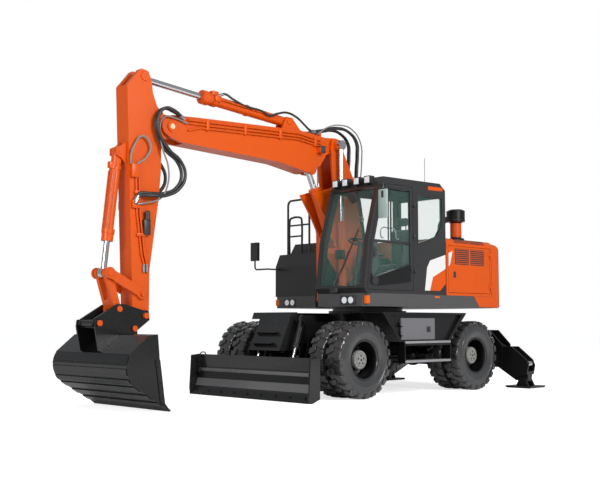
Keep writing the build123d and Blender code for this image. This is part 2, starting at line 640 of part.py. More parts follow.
def tank_housing():
    outline = [
        (HOUSING_FRONT_X + SEAT_GAP, DECK_TOP_Z + SEAT_GAP), (TANK_FRONT_X, DECK_TOP_Z + SEAT_GAP),
        (TANK_FRONT_X, 1900), (700, TANK_STEP_Z), (480, TANK_STEP_Z), (360, HOOD_TOP_Z),
        (HOUSING_FRONT_X + SEAT_GAP, HOOD_TOP_Z),
    ]
    body = side_plate(outline, (-HALF_WIDTH, -330))
    add("tank_housing", body)


# ================================================================ cab
CAB_OUTLINE = [
    (-370, DECK_TOP_Z + SEAT_GAP), (1400, DECK_TOP_Z + SEAT_GAP), (1450, 1500), (1368, 2150),
    (1140, 2940), (1040, 3060), (-240, 3085), (-370, 2990),
]
CAB_INSIDE = [
    (-325, 1480), (1355, 1480), (1400, 1515), (1322, 2140), (1098, 2920), (1020, 3015),
    (-225, 3038), (-325, 2965),
]
DOOR_OPENING = [(395, 1475), (1365, 1475), (1392, 1515), (1310, 2135), (1088, 2915), (1030, 2965), (395, 2975)]
DOOR_WINDOW = [(455, 1860), (1265, 1640), (1305, 1700), (1255, 2125), (1050, 2870), (1005, 2900), (455, 2910)]
QUARTER_WINDOW = [(290, 2160), (-150, 2290), (-300, 2480), (-300, 2860), (290, 2880)]
CAB_HINGE_X = 375.0
CAB_HINGE_Z = (1750.0, 2250.0, 2700.0)


def shrink(points, gap):
    """The same outline drawn in by a gap, for a door in its opening or a pane in its frame."""
    cx = sum(p[0] for p in points) / len(points)
    cz = sum(p[1] for p in points) / len(points)
    out = []
    for i, (x, z) in enumerate(points):
        ax, az = points[i - 1]
        bx, bz = points[(i + 1) % len(points)]
        lines = []
        for (px, pz), (qx, qz) in (((ax, az), (x, z)), ((x, z), (bx, bz))):
            nx, nz = -(qz - pz), qx - px
            size = hypot(nx, nz)
            nx, nz = nx / size, nz / size
            if nx * (cx - px) + nz * (cz - pz) < 0:
                nx, nz = -nx, -nz
            lines.append((nx, nz, nx * px + nz * pz + gap))
        (a, b, c), (d, e, f) = lines
        det = a * e - b * d
        out.append(((c * e - b * f) / det, (a * f - c * d) / det))
    return out


def cab():
    shell = side_plate(CAB_OUTLINE, (CAB_RIGHT_Y, CAB_LEFT_Y))
    shell -= side_plate(CAB_INSIDE, (CAB_RIGHT_Y + CAB_WALL, CAB_LEFT_Y - CAB_WALL))
    shell -= side_plate(DOOR_OPENING, (CAB_LEFT_Y - CAB_WALL - 5, CAB_LEFT_Y + 5))
    shell -= side_plate(QUARTER_WINDOW, (CAB_LEFT_Y - CAB_WALL - 5, CAB_LEFT_Y + 5))
    right_window = [(-250, 1720), (-250, 2900), (1000, 2880), (1240, 2120), (1310, 1560), (500, 1560)]
    shell -= side_plate(right_window, (CAB_RIGHT_Y - 5, CAB_RIGHT_Y + CAB_WALL + 5))
    inner_y = (CAB_RIGHT_Y + 75, CAB_LEFT_Y - 75)
    shell -= block((1150, 1500), inner_y, (1530, 2150))
    shell -= side_plate([(1250, 2100), (1500, 2100), (1300, 2900), (1050, 2900)], inner_y)
    shell -= block((-400, -300), inner_y, (2000, 2880))
    ear, eye = leaf_hinge(DOOR_OPENING[0][0] + DOOR_GAP - CAB_HINGE_X)
    hinges = [Pos(CAB_HINGE_X, CAB_LEFT_Y, z) for z in CAB_HINGE_Z]
    for place in hinges:
        shell += place * ear
    add("cab_shell", shell)

    door = side_plate(shrink(DOOR_OPENING, DOOR_GAP), (CAB_LEFT_Y - CAB_WALL, CAB_LEFT_Y))
    door -= side_plate(DOOR_WINDOW, (1000, 1300))
    for place in hinges:
        door += place * eye
    add("cab_door", door)
    pane_y = (CAB_LEFT_Y - 30, CAB_LEFT_Y - 22)
    add("door_glass", side_plate(shrink(DOOR_WINDOW, SEAT_GAP), pane_y))
    add("cab_glass", side_plate(shrink(QUARTER_WINDOW, SEAT_GAP), pane_y))
    add("cab_glass", side_plate(shrink(right_window, SEAT_GAP), (CAB_RIGHT_Y + 20, CAB_RIGHT_Y + 28)))
    glass_y = (inner_y[0] + SEAT_GAP, inner_y[1] - SEAT_GAP)
    add("cab_glass", block((-352, -344), glass_y, (2000 + SEAT_GAP, 2880 - SEAT_GAP)))
    screen = [(1425, 1531), (1433, 1531), (1353, 2150), (1142, 2880), (1134, 2880), (1345, 2150)]
    add("cab_glass", side_plate(screen, glass_y))

    seat = block((60, 520), (530, 1010), (1760, 1880))
    seat += block((20, 130), (550, 990), (1880, 2420))
    seat += block((30, 110), (650, 890), (2440 - 20, 2600))
    seat += block((150, 430), (620, 920), (1480 + SEAT_GAP, 1760))
    add("seat", seat)
    for y in (430, 1110):
        console = block((60, 560), (y - 60, y + 60), (1480 + SEAT_GAP, 2000))
        console += bar((500, y, 1990), (520, y, 2140), 22)
        add("cab_controls", console)
    column = bar((1120, 770, 1495), (1000, 770, 2150), 40)
    column += block((1070, 1170), (720, 820), (1480 + SEAT_GAP, 1510))
    wheel_rim = Pos(990, 770, 2170) * Rot(0, -12, 0) * Torus(175, 15)
    column += wheel_rim + Pos(993, 770, 2160) * Rot(0, -12, 0) * Box(350, 40, 24)
    add("cab_controls", column)


def trim():
    """Handrails, mirrors, roof lights, pre-cleaner and exhaust on the upper structure."""
    rail_r = 17
    top = 2960
    foot = TANK_STEP_Z + SEAT_GAP
    rail = tube([(640, -1110, foot), (640, -1110, top), (640, -630, top), (640, -630, foot)], 80, rail_r)
    rail += bar((640, -1110, 2560), (640, -630, 2560), rail_r - 3)
    add("handrails_and_mirror", rail)
    stay_x = TANK_FRONT_X + SEAT_GAP
    arm = tube([(stay_x, -1130, 1860), (1060, -1130, 1860), (1060, -1430, 1860), (1060, -1430, 2010)], 50, 13)
    arm += block((1035, 1085), (-1510, -1350), (2000, 2290))
    add("handrails_and_mirror", arm)
    for y in (450, 640, 860, 1060):
        lamp = block((1090, 1190), (y - 55, y + 55), (2960, 3070))
        shell = parts["cab_shell"].pop()
        add("cab_shell", shell + lamp)
    x, y = PRE_CLEANER
    foot = HOOD_TOP_Z + SEAT_GAP
    cleaner = bar((x, y, foot), (x, y, 2610), 85)
    cleaner += bar((x, y, foot), (x, y, foot + 60), 130)
    cleaner += bar((x, y, 2610), (x, y, 2810), 145)
    add("intake_and_exhaust", cleaner)
    x, y = EXHAUST
    exhaust = bar((x, y, foot), (x, y, 2560), 55)
    add("intake_and_exhaust", exhaust)


# ================================================================ boom, arm and bucket
def base_boom():
    side = [
        (165, 1740), (330, 2600), (480, 3215), (700, 3600), (720, 3760), (930, 3760), (960, 3620),
        (935, 3300), (905, 3030), (1330, 2900), (1090, 2570), (780, 2060), (430, 1650), (230, 1630),
    ]
    radii = [60, 0, 0, 0, 60, 60, 0, 0, 30, 15, 60, 120, 60, 60]
    boom = side_plate(side, (BASE_PLATE_Y[0], BASE_PLATE_Y[1]), radii)
    boom += side_plate(side, (-BASE_PLATE_Y[1], -BASE_PLATE_Y[0]), radii)
    core = [
        (165, 1740), (330, 2600), (480, 3215), (560, 3380), (600, 3360), (530, 3200), (400, 2600),
        (700, 2180), (800, 2140), (780, 2060), (430, 1650), (230, 1630),
    ]
    boom += side_plate(core, (-BASE_PLATE_Y[0], BASE_PLATE_Y[0]))
    boom += pin_y(BOOM_FOOT, (-165, 165), 105)
    boom -= pin_y(BOOM_FOOT, (-300, 300), 45 + RUNNING_FIT)
    boom += pin_y(KNUCKLE, (-150, 150), PIN_RADIUS)
    spec = CYLINDERS["position"]
    for low, high in ((58, 120), (-120, -58)):
        boom += pin_y(spec["base"], (low, high), 62)
    boom += pin_y(spec["base"], (-120, 120), 32)
    for sign in (1, -1):
        boom += pin_y(KNUCKLE, (sign * 149, sign * (LIFT_Y - 37 - SIDE_PLAY)), 78)
    add("base_boom", boom)
    for sign in (1, -1):
        barrel, rod = hydraulic(CYLINDERS["lift"], sign * LIFT_Y, 25, 34, 72, 37)
        add("lift_cylinder_barrels", barrel)
        add("lift_cylinder_rods", rod)


def front_boom():
    body = [
        (1010, 3745), (1600, 3790), (3420, 3690), (3860, 3660), (4010, 3600), (4010, 3430), (3870, 3365),
        (3720, 3330), (1990, 3280), (1440, 3200), (1385, 3200), (1170, 3330), (1060, 3480),
    ]
    shape = side_plate(body, (-BOOM_HALF, BOOM_HALF), [0, 0, 0, 0, 120, 120, 0, 0, 0, 0, 0, 0, 0])
    tongue = [(830, 3780), (1030, 3760), (1100, 3470), (960, 3530), (830, 3540)]
    shape += side_plate(tongue, (-TONGUE_HALF, TONGUE_HALF)) + pin_y(KNUCKLE, (-TONGUE_HALF, TONGUE_HALF), 120)
    shape -= pin_y(KNUCKLE, (-300, 300), PIN_RADIUS + RUNNING_FIT)
    # fork for the arm's root and its pin
    fork = [(3640, 4000), (4200, 4000), (4200, 3000), (3640, 3000)]
    shape -= side_plate(fork, (-ARM_ROOT_HALF - SIDE_PLAY, ARM_ROOT_HALF + SIDE_PLAY))
    shape += pin_y(BOOM_TIP, (-BOOM_HALF - 12, BOOM_HALF + 12), PIN_RADIUS)
    for sign in (1, -1):
        shape += pin_y(BOOM_TIP, (sign * BOOM_HALF, sign * (BOOM_HALF + 14)), 72)
    # ears of the arm cylinder on top, and of the positioning cylinder below
    top_ear = [(1480, 3760), (1690, 3965), (1800, 3965), (1840, 3900), (1900, 3760)]
    low_ear = [(1180, 3340), (1215, 3230), (1250, 3190), (1350, 3190), (1400, 3230), (1500, 3300)]
    arm_spec = CYLINDERS["arm"]
    shape -= side_plate([(1100, 3150), (1470, 3150), (1470, 3345), (1100, 3460)], (-60, 60))
    for sign in (1, -1):
        shape += side_plate(top_ear, (sign * 55, sign * 80))
        shape += side_plate(low_ear, (sign * 60, sign * 90))
    shape += pin_y(arm_spec["base"], (-92, 92), 36)
    add("front_boom", shape)
    barrel, rod = hydraulic(CYLINDERS["position"], 0, 52, 32, 62)
    add("positioning_barrel", barrel)
    add("positioning_rod", rod)
    barrel, rod = hydraulic(arm_spec, 0, 48, 36, 72)
    add("arm_cylinder_barrel", barrel)
    add("arm_cylinder_rod", rod)


def arm():
    outline = [
        (4530, 3940), (4340, 4175), (4225, 4165), (4170, 4050), (4150, 3900), (4080, 3730),
        (3980, 3660), (3830, 3660), (3720, 3560), (3730, 3430), (3830, 3370), (3990, 3340),
        (4012, 3190), (4015, 2900), (4045, 2550), (4170, 1670), (4170, 1180), (4200, 1040),
        (4330, 1050), (4410, 1190),
    ]
    radii = [20, 40, 50, 0, 0, 60, 60, 90, 90, 90, 90, 60, 0, 0, 0, 0, 0, 50, 50, 0]
    shape = side_plate(outline, (-ARM_HALF, ARM_HALF), radii)
    ring = pin_y(BOOM_TIP, (ARM_ROOT_HALF, 300), 172) + pin_y(BOOM_TIP, (-300, -ARM_ROOT_HALF), 172)
    for side in (1, -1):
        ring += block((3400, 3860), (side * ARM_ROOT_HALF, side * 300), (3300, 3700))
        ring += block((3830, 3985), (side * ARM_ROOT_HALF, side * 300), (3630, 3705))
    shape -= ring
    shape -= pin_y(BOOM_TIP, (-300, 300), PIN_RADIUS + RUNNING_FIT)
    # fork at the head for the arm cylinder's eye, with the pin's caps outside
    shape -= block((3900, 4700), (-58, 58), (3945, 4400))
    rod_pin = CYLINDERS["arm"]["rod"]
    for sign in (1, -1):
        shape += pin_y(rod_pin, (sign * ARM_HALF, sign * (ARM_HALF + 14)), 62)
    # bucket cylinder ears on the front face
    ear = [(4440, 3300), (4560, 3190), (4640, 3150), (4640, 3070), (4560, 3030), (4430, 2900)]
    for sign in (1, -1):
        shape += side_plate(ear, (sign * 52, sign * 76))
    shape += pin_y(CYLINDERS["bucket"]["base"], (-86, 86), 34)
    shape += pin_y(IDLER_PIN, (-184, 184), 32)
    shape += pin_y(ARM_TIP, (-204, 204), 36)
    add("arm", shape)
    barrel, rod = hydraulic(CYLINDERS["bucket"], 0, 45, 34, 58)
    add("bucket_cylinder_barrel", barrel)
    add("bucket_cylinder_rod", rod)


def strap(start, end, y, radius, width):
    """Flat link with round ends between two side-view points."""
    plate = pin_y(start, y, radius) + pin_y(end, y, radius)
    heading = atan2(end[1] - start[1], end[0] - start[0]) + pi / 2
    dx, dz = width / 2 * cos(heading), width / 2 * sin(heading)
    plate += side_plate([
        (start[0] + dx, start[1] + dz), (end[0] + dx, end[1] + dz),
        (end[0] - dx, end[1] - dz), (start[0] - dx, start[1] - dz),
    ], y)
    return plate


def bucket_linkage():
    plates = None
    for sign in (1, -1):
        y = (sign * (ARM_HALF + SIDE_PLAY), sign * (ARM_HALF + 35))
        plate = strap(IDLER_PIN, BUCKET_ROD_PIN, y, 68, 110)
        plate -= pin_y(IDLER_PIN, (-300, 300), 32 + RUNNING_FIT)
        plates = plate if plates is None else plates + plate
        plates += pin_y(BUCKET_ROD_PIN, (sign * (ARM_HALF - 1), sign * (ARM_HALF + 46)), 40)
    stub = pin_y(BUCKET_ROD_PIN, (58, ARM_HALF), 32) + pin_y(BUCKET_ROD_PIN, (-ARM_HALF, -58), 32)
    plates += stub
    add("idler_links", plates)
    link = None
    for sign in (1, -1):
        y = (sign * 62, sign * 118)
        plate = strap(BUCKET_ROD_PIN, LINK_PIN, y, 60, 90)
        plate -= pin_y(BUCKET_ROD_PIN, (-300, 300), 32 + RUNNING_FIT)
        link = plate if link is None else link + plate
    link += side_plate([(4640, 1300), (4700, 1300), (4660, 1190), (4600, 1190)], (-64, 64))
    add("bucket_link", link)


def bucket():
    ear = [
        (4200, 1170), (4290, 1180), (4560, 1250), (4660, 1245), (4960, 1070), (4985, 1000), (4930, 965),
        (4480, 900), (4400, 905), (4185, 1060),
    ]
    coupler = None
    for sign in (1, -1):
        plate = side_plate(ear, (sign * (ARM_HALF + SIDE_PLAY), sign * (ARM_HALF + 40)))
        plate -= pin_y(ARM_TIP, (-300, 300), 36 + RUNNING_FIT)
        coupler = plate if coupler is None else coupler + plate
    floor = [(4400, 905), (4480, 900), (4930, 965), (4930, 1010), (4480, 950), (4400, 950)]
    coupler += side_plate(floor, (-ARM_HALF - 20, ARM_HALF + 20))
    for point in (BUCKET_PIN_FRONT, BUCKET_PIN_REAR):
        coupler += pin_y(point, (-ARM_HALF - 40, ARM_HALF + 40), 42)
    add("coupler", coupler)

    outer = [
        (4337, 0), (4408, 57), (4548, 134), (4714, 233), (4863, 329), (4917, 409), (4946, 543),
        (4895, 675), (4790, 760), (4640, 880), (4520, 892),
    ]
    half = 810
    wall = side_plate(ribbon(outer, 20), (-half + 1, half - 1))
    cheek = outer + [(4490, 600), (4415, 100)]
    for sign in (1, -1):
        wall += side_plate(cheek, (sign * (half - 22), sign * half))
    for sign in (1, -1):
        y = (sign * 190, sign * 215)
        wall += side_plate([
            (4395, 890), (4400, 1000), (4480, 1010), (4880, 1070), (4975, 1060), (4985, 980),
            (4930, 700), (4880, 680), (4780, 768), (4640, 882), (4520, 880),
        ], y)
        for point in (BUCKET_PIN_FRONT, BUCKET_PIN_REAR):
            wall += pin_y(point, (sign * (ARM_HALF + 40 + SEAT_GAP), sign * 228), 40)
    add("bucket", wall)


def export():
    os.makedirs("parts", exist_ok=True)
    for node, solids in parts.items():
        export_step(Compound(solids), os.path.join("parts", node + ".step"))


wheels()
axles()
driveline()
chassis()
consoles()
front_step_box()
blade()
outriggers()
upper_frame()
counterweight()
engine_bay()
tank_housing()
cab()
trim()
base_boom()
front_boom()
arm()
bucket_linkage()
bucket()
export()
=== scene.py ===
import json
import math

import bpy
from mathutils import Matrix, Vector


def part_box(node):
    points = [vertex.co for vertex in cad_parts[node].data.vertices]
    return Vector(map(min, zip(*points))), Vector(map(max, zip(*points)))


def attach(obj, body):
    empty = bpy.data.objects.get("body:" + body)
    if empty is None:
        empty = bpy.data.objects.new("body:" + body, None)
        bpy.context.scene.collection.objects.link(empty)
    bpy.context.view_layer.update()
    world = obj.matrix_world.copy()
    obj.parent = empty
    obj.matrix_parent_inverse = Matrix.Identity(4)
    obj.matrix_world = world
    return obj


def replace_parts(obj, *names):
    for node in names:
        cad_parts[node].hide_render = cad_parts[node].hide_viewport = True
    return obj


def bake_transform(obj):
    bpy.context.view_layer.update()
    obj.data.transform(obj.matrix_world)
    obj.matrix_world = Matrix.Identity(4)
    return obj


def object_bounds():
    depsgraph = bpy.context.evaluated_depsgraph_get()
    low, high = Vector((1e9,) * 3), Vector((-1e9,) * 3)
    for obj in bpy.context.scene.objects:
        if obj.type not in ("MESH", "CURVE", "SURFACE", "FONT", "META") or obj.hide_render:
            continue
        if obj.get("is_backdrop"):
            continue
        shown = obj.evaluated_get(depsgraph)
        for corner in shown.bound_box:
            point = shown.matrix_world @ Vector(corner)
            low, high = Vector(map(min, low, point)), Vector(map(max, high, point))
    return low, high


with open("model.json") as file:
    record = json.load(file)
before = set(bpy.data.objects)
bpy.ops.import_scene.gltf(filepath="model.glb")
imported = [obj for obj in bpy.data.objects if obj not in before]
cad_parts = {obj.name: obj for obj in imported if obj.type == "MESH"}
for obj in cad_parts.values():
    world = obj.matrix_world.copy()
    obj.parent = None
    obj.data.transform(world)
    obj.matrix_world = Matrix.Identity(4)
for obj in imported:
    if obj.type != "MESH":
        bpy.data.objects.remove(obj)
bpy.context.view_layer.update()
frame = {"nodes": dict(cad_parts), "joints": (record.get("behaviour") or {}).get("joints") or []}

# ---- studio ----
# A plain white floor and an even, bright sky, with one large soft lamp high on the cab's side, one
# in front of the blade and a weak one behind, as in a studio for large machines.


def linear(code):
    """Linear colour of an sRGB hex value."""
    channels = [int(code[i:i + 2], 16) / 255 for i in (1, 3, 5)]
    return [c / 12.92 if c <= 0.04045 else ((c + 0.055) / 1.055) ** 2.4 for c in channels] + [1.0]


def add_node(tree, kind, inputs, **settings):
    """A node with its settings; an input is a value, or (node, output name) for a link."""
    node = tree.nodes.new(kind)
    for name, value in settings.items():
        setattr(node, name, value)
    for name, value in inputs.items():
        socket = node.inputs[name]
        if isinstance(value, tuple) and isinstance(value[0], bpy.types.Node):
            tree.links.new(value[0].outputs[value[1]], socket)
        else:
            socket.default_value = value
    return node


def new_material(name):
    """An empty node material and its tree."""
    material = bpy.data.materials.new(name)
    material.use_nodes = True
    material.node_tree.nodes.clear()
    return material, material.node_tree


world = bpy.data.worlds.new("studio_sky")
bpy.context.scene.world = world
world.use_nodes = True
sky = world.node_tree
sky.nodes.clear()
path = add_node(sky, "ShaderNodeLightPath", {})
seen = add_node(sky, "ShaderNodeMath", {0: (path, "Is Camera Ray"), 1: (path, "Is Transmission Ray")},
                operation="MAXIMUM")
light_sky = add_node(sky, "ShaderNodeBackground", {"Color": linear("#F2F5F8"), "Strength": 0.36})
white_sky = add_node(sky, "ShaderNodeBackground", {"Color": linear("#FFFFFF"), "Strength": 1.0})
both = add_node(sky, "ShaderNodeMixShader", {
    0: (seen, "Value"), 1: (light_sky, "Background"), 2: (white_sky, "Background")})
add_node(sky, "ShaderNodeOutputWorld", {"Surface": (both, "Shader")})

bpy.ops.object.select_all(action="DESELECT")
bpy.ops.mesh.primitive_plane_add(size=160, location=(0, 0, 0))
floor = bpy.context.object
floor.name = "studio_floor"
material, tree = new_material("white_studio_floor")
path = add_node(tree, "ShaderNodeLightPath", {})
matt = add_node(tree, "ShaderNodeBsdfDiffuse", {"Color": linear("#F4F4F4")})
glow = add_node(tree, "ShaderNodeEmission", {"Color": linear("#FFFFFF"), "Strength": 0.7})
lifted = add_node(tree, "ShaderNodeAddShader", {0: (matt, "BSDF"), 1: (glow, "Emission")})
shown = add_node(tree, "ShaderNodeMixShader", {
    0: (path, "Is Camera Ray"), 1: (matt, "BSDF"), 2: (lifted, "Shader")})
add_node(tree, "ShaderNodeOutputMaterial", {"Surface": (shown, "Shader")})
floor.data.materials.append(material)
floor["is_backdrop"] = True

# lamp: name, place, size, power in watts
LAMPS = (
    ("lamp_cab_side", (2.0, 12.0, 7.5), 5.0, 1180.0),
    ("lamp_blade_side", (14.0, 3.0, 5.0), 4.0, 520.0),
    ("lamp_behind", (-9.0, -9.0, 8.0), 7.0, 500.0),
)
for name, place, size, power in LAMPS:
    lamp = bpy.data.lights.new(name, "AREA")
    lamp.size = size
    lamp.energy = power
    holder = bpy.data.objects.new(name, lamp)
    holder.location = place
    holder.rotation_euler = (Vector((0.5, 0, 1.2)) - Vector(place)).to_track_quat("-Z", "Y").to_euler()
    bpy.context.scene.collection.objects.link(holder)

camera = bpy.data.cameras.new("camera")
camera.lens = 56.16
camera.sensor_width = 36.0
camera.clip_end = 400
eye = bpy.data.objects.new("camera", camera)
eye.location = (10.88, 9.68, 1.03)
PITCH, HEADING = 4.42, 225.77
eye.rotation_euler = (math.radians(90 + PITCH), 0, math.radians(HEADING - 90))
bpy.context.scene.collection.objects.link(eye)
bpy.context.scene.camera = eye
bpy.context.scene.view_settings.view_transform = "Standard"

# ---- tyres ----
# Eight industrial cross-ply tyres of moulded black rubber in twin pairs. Each is a bulged carcass
# with two rows of deep curved lugs, offset by half a pitch, that wrap over the shoulders.
JOINTS = {j["name"]: j for j in frame["joints"]}
LUGS = 22
LUG_PITCH = 2 * math.pi / LUGS
tyre_low, tyre_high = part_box("tyres_front_left")
TYRE_RADIUS = (tyre_high.z - tyre_low.z) / 2
TYRE_WIDTH = 0.275
TREAD_BASE = TYRE_RADIUS - 0.026
MERGE = 1e-5


def deselect():
    if bpy.context.object and bpy.context.object.mode != "OBJECT":
        bpy.ops.object.mode_set(mode="OBJECT")
    bpy.ops.object.select_all(action="DESELECT")


def activate(piece):
    """Selects one piece alone and makes it the active one."""
    deselect()
    piece.select_set(True)
    bpy.context.view_layer.objects.active = piece


def named(name):
    """Names the object just added and its mesh."""
    piece = bpy.context.object
    piece.name = name
    piece.data.name = name
    return piece


def edit(piece, work):
    """Runs mesh operators on the whole of a piece in edit mode."""
    activate(piece)
    bpy.ops.object.mode_set(mode="EDIT")
    bpy.ops.mesh.select_all(action="SELECT")
    work()
    bpy.ops.object.mode_set(mode="OBJECT")


def clean():
    """Merges doubled points, closes open ends and turns all faces outwards."""
    bpy.ops.mesh.remove_doubles(threshold=MERGE)
    bpy.ops.mesh.fill_holes(sides=0)
    bpy.ops.mesh.select_all(action="SELECT")
    bpy.ops.mesh.normals_make_consistent(inside=False)


def turned(name, outline, steps=96):
    """A closed outline of (radius, y) points, spun about the Y axis."""
    deselect()
    bpy.ops.mesh.primitive_circle_add(vertices=len(outline), fill_type="NOTHING")
    piece = named(name)
    for vertex, (radius, y) in zip(piece.data.vertices, outline):
        vertex.co = (radius, y, 0)

    def work():
        bpy.ops.mesh.spin(steps=steps, angle=2 * math.pi, center=(0, 0, 0), axis=(0, 1, 0))
        bpy.ops.mesh.select_all(action="SELECT")
        clean()
    edit(piece, work)
    return piece


def lofted(name, rings):
    """A solid through closed rings of as many points each, with its two ends filled."""
    across, rows = len(rings[0]), len(rings) - 1
    deselect()
    bpy.ops.mesh.primitive_grid_add(x_subdivisions=across, y_subdivisions=rows, size=2)
    piece = named(name)
    for vertex in piece.data.vertices:
        i = round((vertex.co.x + 1) / 2 * across) % across
        j = round((vertex.co.y + 1) / 2 * rows)
        vertex.co = rings[j][i]

    edit(piece, clean)
    return piece


def apply_modifier(piece, kind, **settings):
    activate(piece)
    modifier = piece.modifiers.new(kind.lower(), kind)
    for key, value in settings.items():
        setattr(modifier, key, value)
    bpy.ops.object.modifier_apply(modifier=modifier.name)
    return piece


def rounded(piece, width, segments=2):
    return apply_modifier(piece, "BEVEL", width=width, segments=segments, limit_method="ANGLE",
                          angle_limit=math.radians(35))


def copied(piece, name, matrix):
    """A copy with its own mesh, moved by a matrix."""
    twin = piece.copy()
    twin.data = piece.data.copy()
    twin.name = name
    twin.data.name = name
    twin.data.transform(matrix)
    if matrix.determinant() < 0:
        twin.data.flip_normals()
    bpy.context.scene.collection.objects.link(twin)
    return twin


def joined(name, pieces):
    deselect()
    for piece in pieces:
        piece.select_set(True)
    bpy.context.view_layer.objects.active = pieces[0]
    bpy.ops.object.join()
    bpy.ops.object.transform_apply()
    return named(name)


def settle(piece, body, finish, smooth=32):
    slot, material = finish
    activate(piece)
    bpy.ops.object.transform_apply()
    bpy.ops.object.shade_smooth_by_angle(angle=math.radians(smooth))
    piece.data.materials.clear()
    piece.data.materials.append(material)
    if isinstance(body, tuple):
        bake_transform(piece)
    else:
        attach(piece, body)
    return piece


def grouped(name, pieces, body, finish, smooth=32):
    """Pieces joined into one and settled."""
    return settle(joined(name, pieces), body, finish, smooth)


def noise(tree, scale, detail, roughness=0.5):
    """Noise in the object's own space, to be linked by its factor."""
    place = add_node(tree, "ShaderNodeTexCoord", {})
    return add_node(tree, "ShaderNodeTexNoise", {
        "Vector": (place, "Object"), "Scale": scale, "Detail": detail, "Roughness": roughness}), "Fac"


def between(tree, pattern, low, high):
    """Two values or two colours mixed by a pattern."""
    if isinstance(low, float):
        return add_node(tree, "ShaderNodeMapRange", {"Value": pattern, 3: low, 4: high}), "Result"
    return add_node(tree, "ShaderNodeMix", {0: pattern, 6: low, 7: high}, data_type="RGBA"), 2


def raised(tree, pattern, strength):
    """A millimetre's relief from a pattern."""
    return add_node(tree, "ShaderNodeBump", {
        "Height": pattern, "Strength": strength, "Distance": 0.001}), "Normal"


def shade(colour, factor, lift=0.0):
    """A linear colour, darker or paler."""
    return [min(1, c * factor + lift) for c in colour[:3]] + [1.0]


def surface(material, inputs):
    """Ends a material with one Principled surface."""
    tree = material.node_tree
    skin = add_node(tree, "ShaderNodeBsdfPrincipled", inputs)
    add_node(tree, "ShaderNodeOutputMaterial", {"Surface": (skin, "BSDF")})
    return material


def moulded_rubber(name, code, roughness, grain_mm, coat=0.0):
    """Cured rubber: soft sheen, a little bloom in patches and the mould's fine grain."""
    material, tree = new_material(name)
    bloom, grain = noise(tree, 6.0, 4.0), noise(tree, 1000 / grain_mm, 3.0)
    dark = linear(code)
    return surface(material, {
        "Base Color": between(tree, bloom, dark, shade(dark, 1.9, 0.004)),
        "Roughness": between(tree, grain, roughness - 0.07, roughness + 0.1),
        "Normal": raised(tree, grain, 0.25), "IOR": 1.52, "Coat Weight": coat, "Coat Roughness": 0.16})


TYRE_RUBBER = ("tyre_rubber", moulded_rubber("moulded_tyre_rubber", "#29292A", 0.3, 5.0, coat=0.75))


def tyre_carcass():
    """Sidewall, shoulder and tread base of one tyre, about the Y axis, its middle at y = 0."""
    half = TYRE_WIDTH / 2
    # radius, share of the half width: bead, rim cushion, bulge, buttress and tread base
    side = [(0.25, 0.66), (0.262, 0.8), (0.282, 0.84), (0.3, 0.9), (0.33, 0.965), (0.365, 1.0),
            (0.4, 0.995), (0.404, 1.015), (0.412, 1.015), (0.416, 0.985), (0.448, 0.93),
            (0.472, 0.9), (0.49, 0.82), (TREAD_BASE, 0.62)]
    outline = [(r, share * half) for r, share in side]
    outline += [(TREAD_BASE + 0.002, 0.0)]
    outline += [(r, -y) for r, y in outline[-2::-1]]
    return turned("tyre_carcass", outline, steps=110)


def tread_lug(turn, side):
    """One curved lug from the middle of the tread over the shoulder, side +1 or -1."""
    half = TYRE_WIDTH / 2
    # share across, top radius, base radius, drift round the tyre and half length, both in pitches
    stations = (
        (0.02, TYRE_RADIUS, TREAD_BASE - 0.012, -0.1, 0.2),
        (0.22, TYRE_RADIUS, TREAD_BASE - 0.012, -0.02, 0.31),
        (0.5, TYRE_RADIUS - 0.001, TREAD_BASE - 0.012, 0.1, 0.3),
        (0.8, TYRE_RADIUS - 0.004, TREAD_BASE - 0.016, 0.16, 0.3),
        (0.955, TYRE_RADIUS - 0.012, 0.47, 0.17, 0.29),
        (0.985, 0.476, 0.452, 0.17, 0.25),
    )
    rings = []
    for share, top, base, drift, reach in stations:
        y = side * share * half
        ring = []
        for radius, span in ((top, reach - 0.03), (base, reach + 0.05)):
            for sign in ((-1, 1) if radius == top else (1, -1)):
                angle = (turn + drift + sign * span) * LUG_PITCH
                ring.append((radius * math.sin(angle), y, radius * math.cos(angle)))
        rings.append(ring)
    lug = lofted("lug", rings)
    return rounded(lug, 0.004, 1)


tyre_parts = [tyre_carcass()]
for side, phase in ((1, 0.0), (-1, 0.5)):
    lug = tread_lug(0.0, side)
    for k in range(LUGS):
        spun = Matrix.Rotation((k + phase) * LUG_PITCH, 4, "Y")
        tyre_parts.append(copied(lug, "lug", spun))
    bpy.data.objects.remove(lug)
tyre = joined("tyre", tyre_parts)
WHEELS = [(end, side) for end in ("front", "rear") for side in ("left", "right")]
for end, side in WHEELS:
    body = f"wheel_{end}_{side}"
    low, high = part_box(f"tyres_{end}_{side}")
    axle = Vector(JOINTS[body]["pos_m"])
    sign = 1 if side == "left" else -1
    outer = max(abs(low.y), abs(high.y))
    inner = min(abs(low.y), abs(high.y))
    for name, y in (("outer", outer - TYRE_WIDTH / 2), ("inner", inner + TYRE_WIDTH / 2)):
        place = Matrix.Translation((axle.x, sign * y, axle.z)) @ Matrix.Scale(sign, 4, (0, 1, 0))
        twin = copied(tyre, f"tyre_{end}_{side}_{name}", place)
        settle(twin, body, TYRE_RUBBER)
        if name == "outer":
            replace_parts(twin, f"tyres_{end}_{side}")
bpy.data.objects.remove(tyre)

# ---- rims and hubs ----
# Twin steel rims, rolled and welded, sprayed gloss black, bolted by ten nuts to a cast hub whose
# grey planetary cover has a ring of cap screws, five jacking plugs and an oil plug.


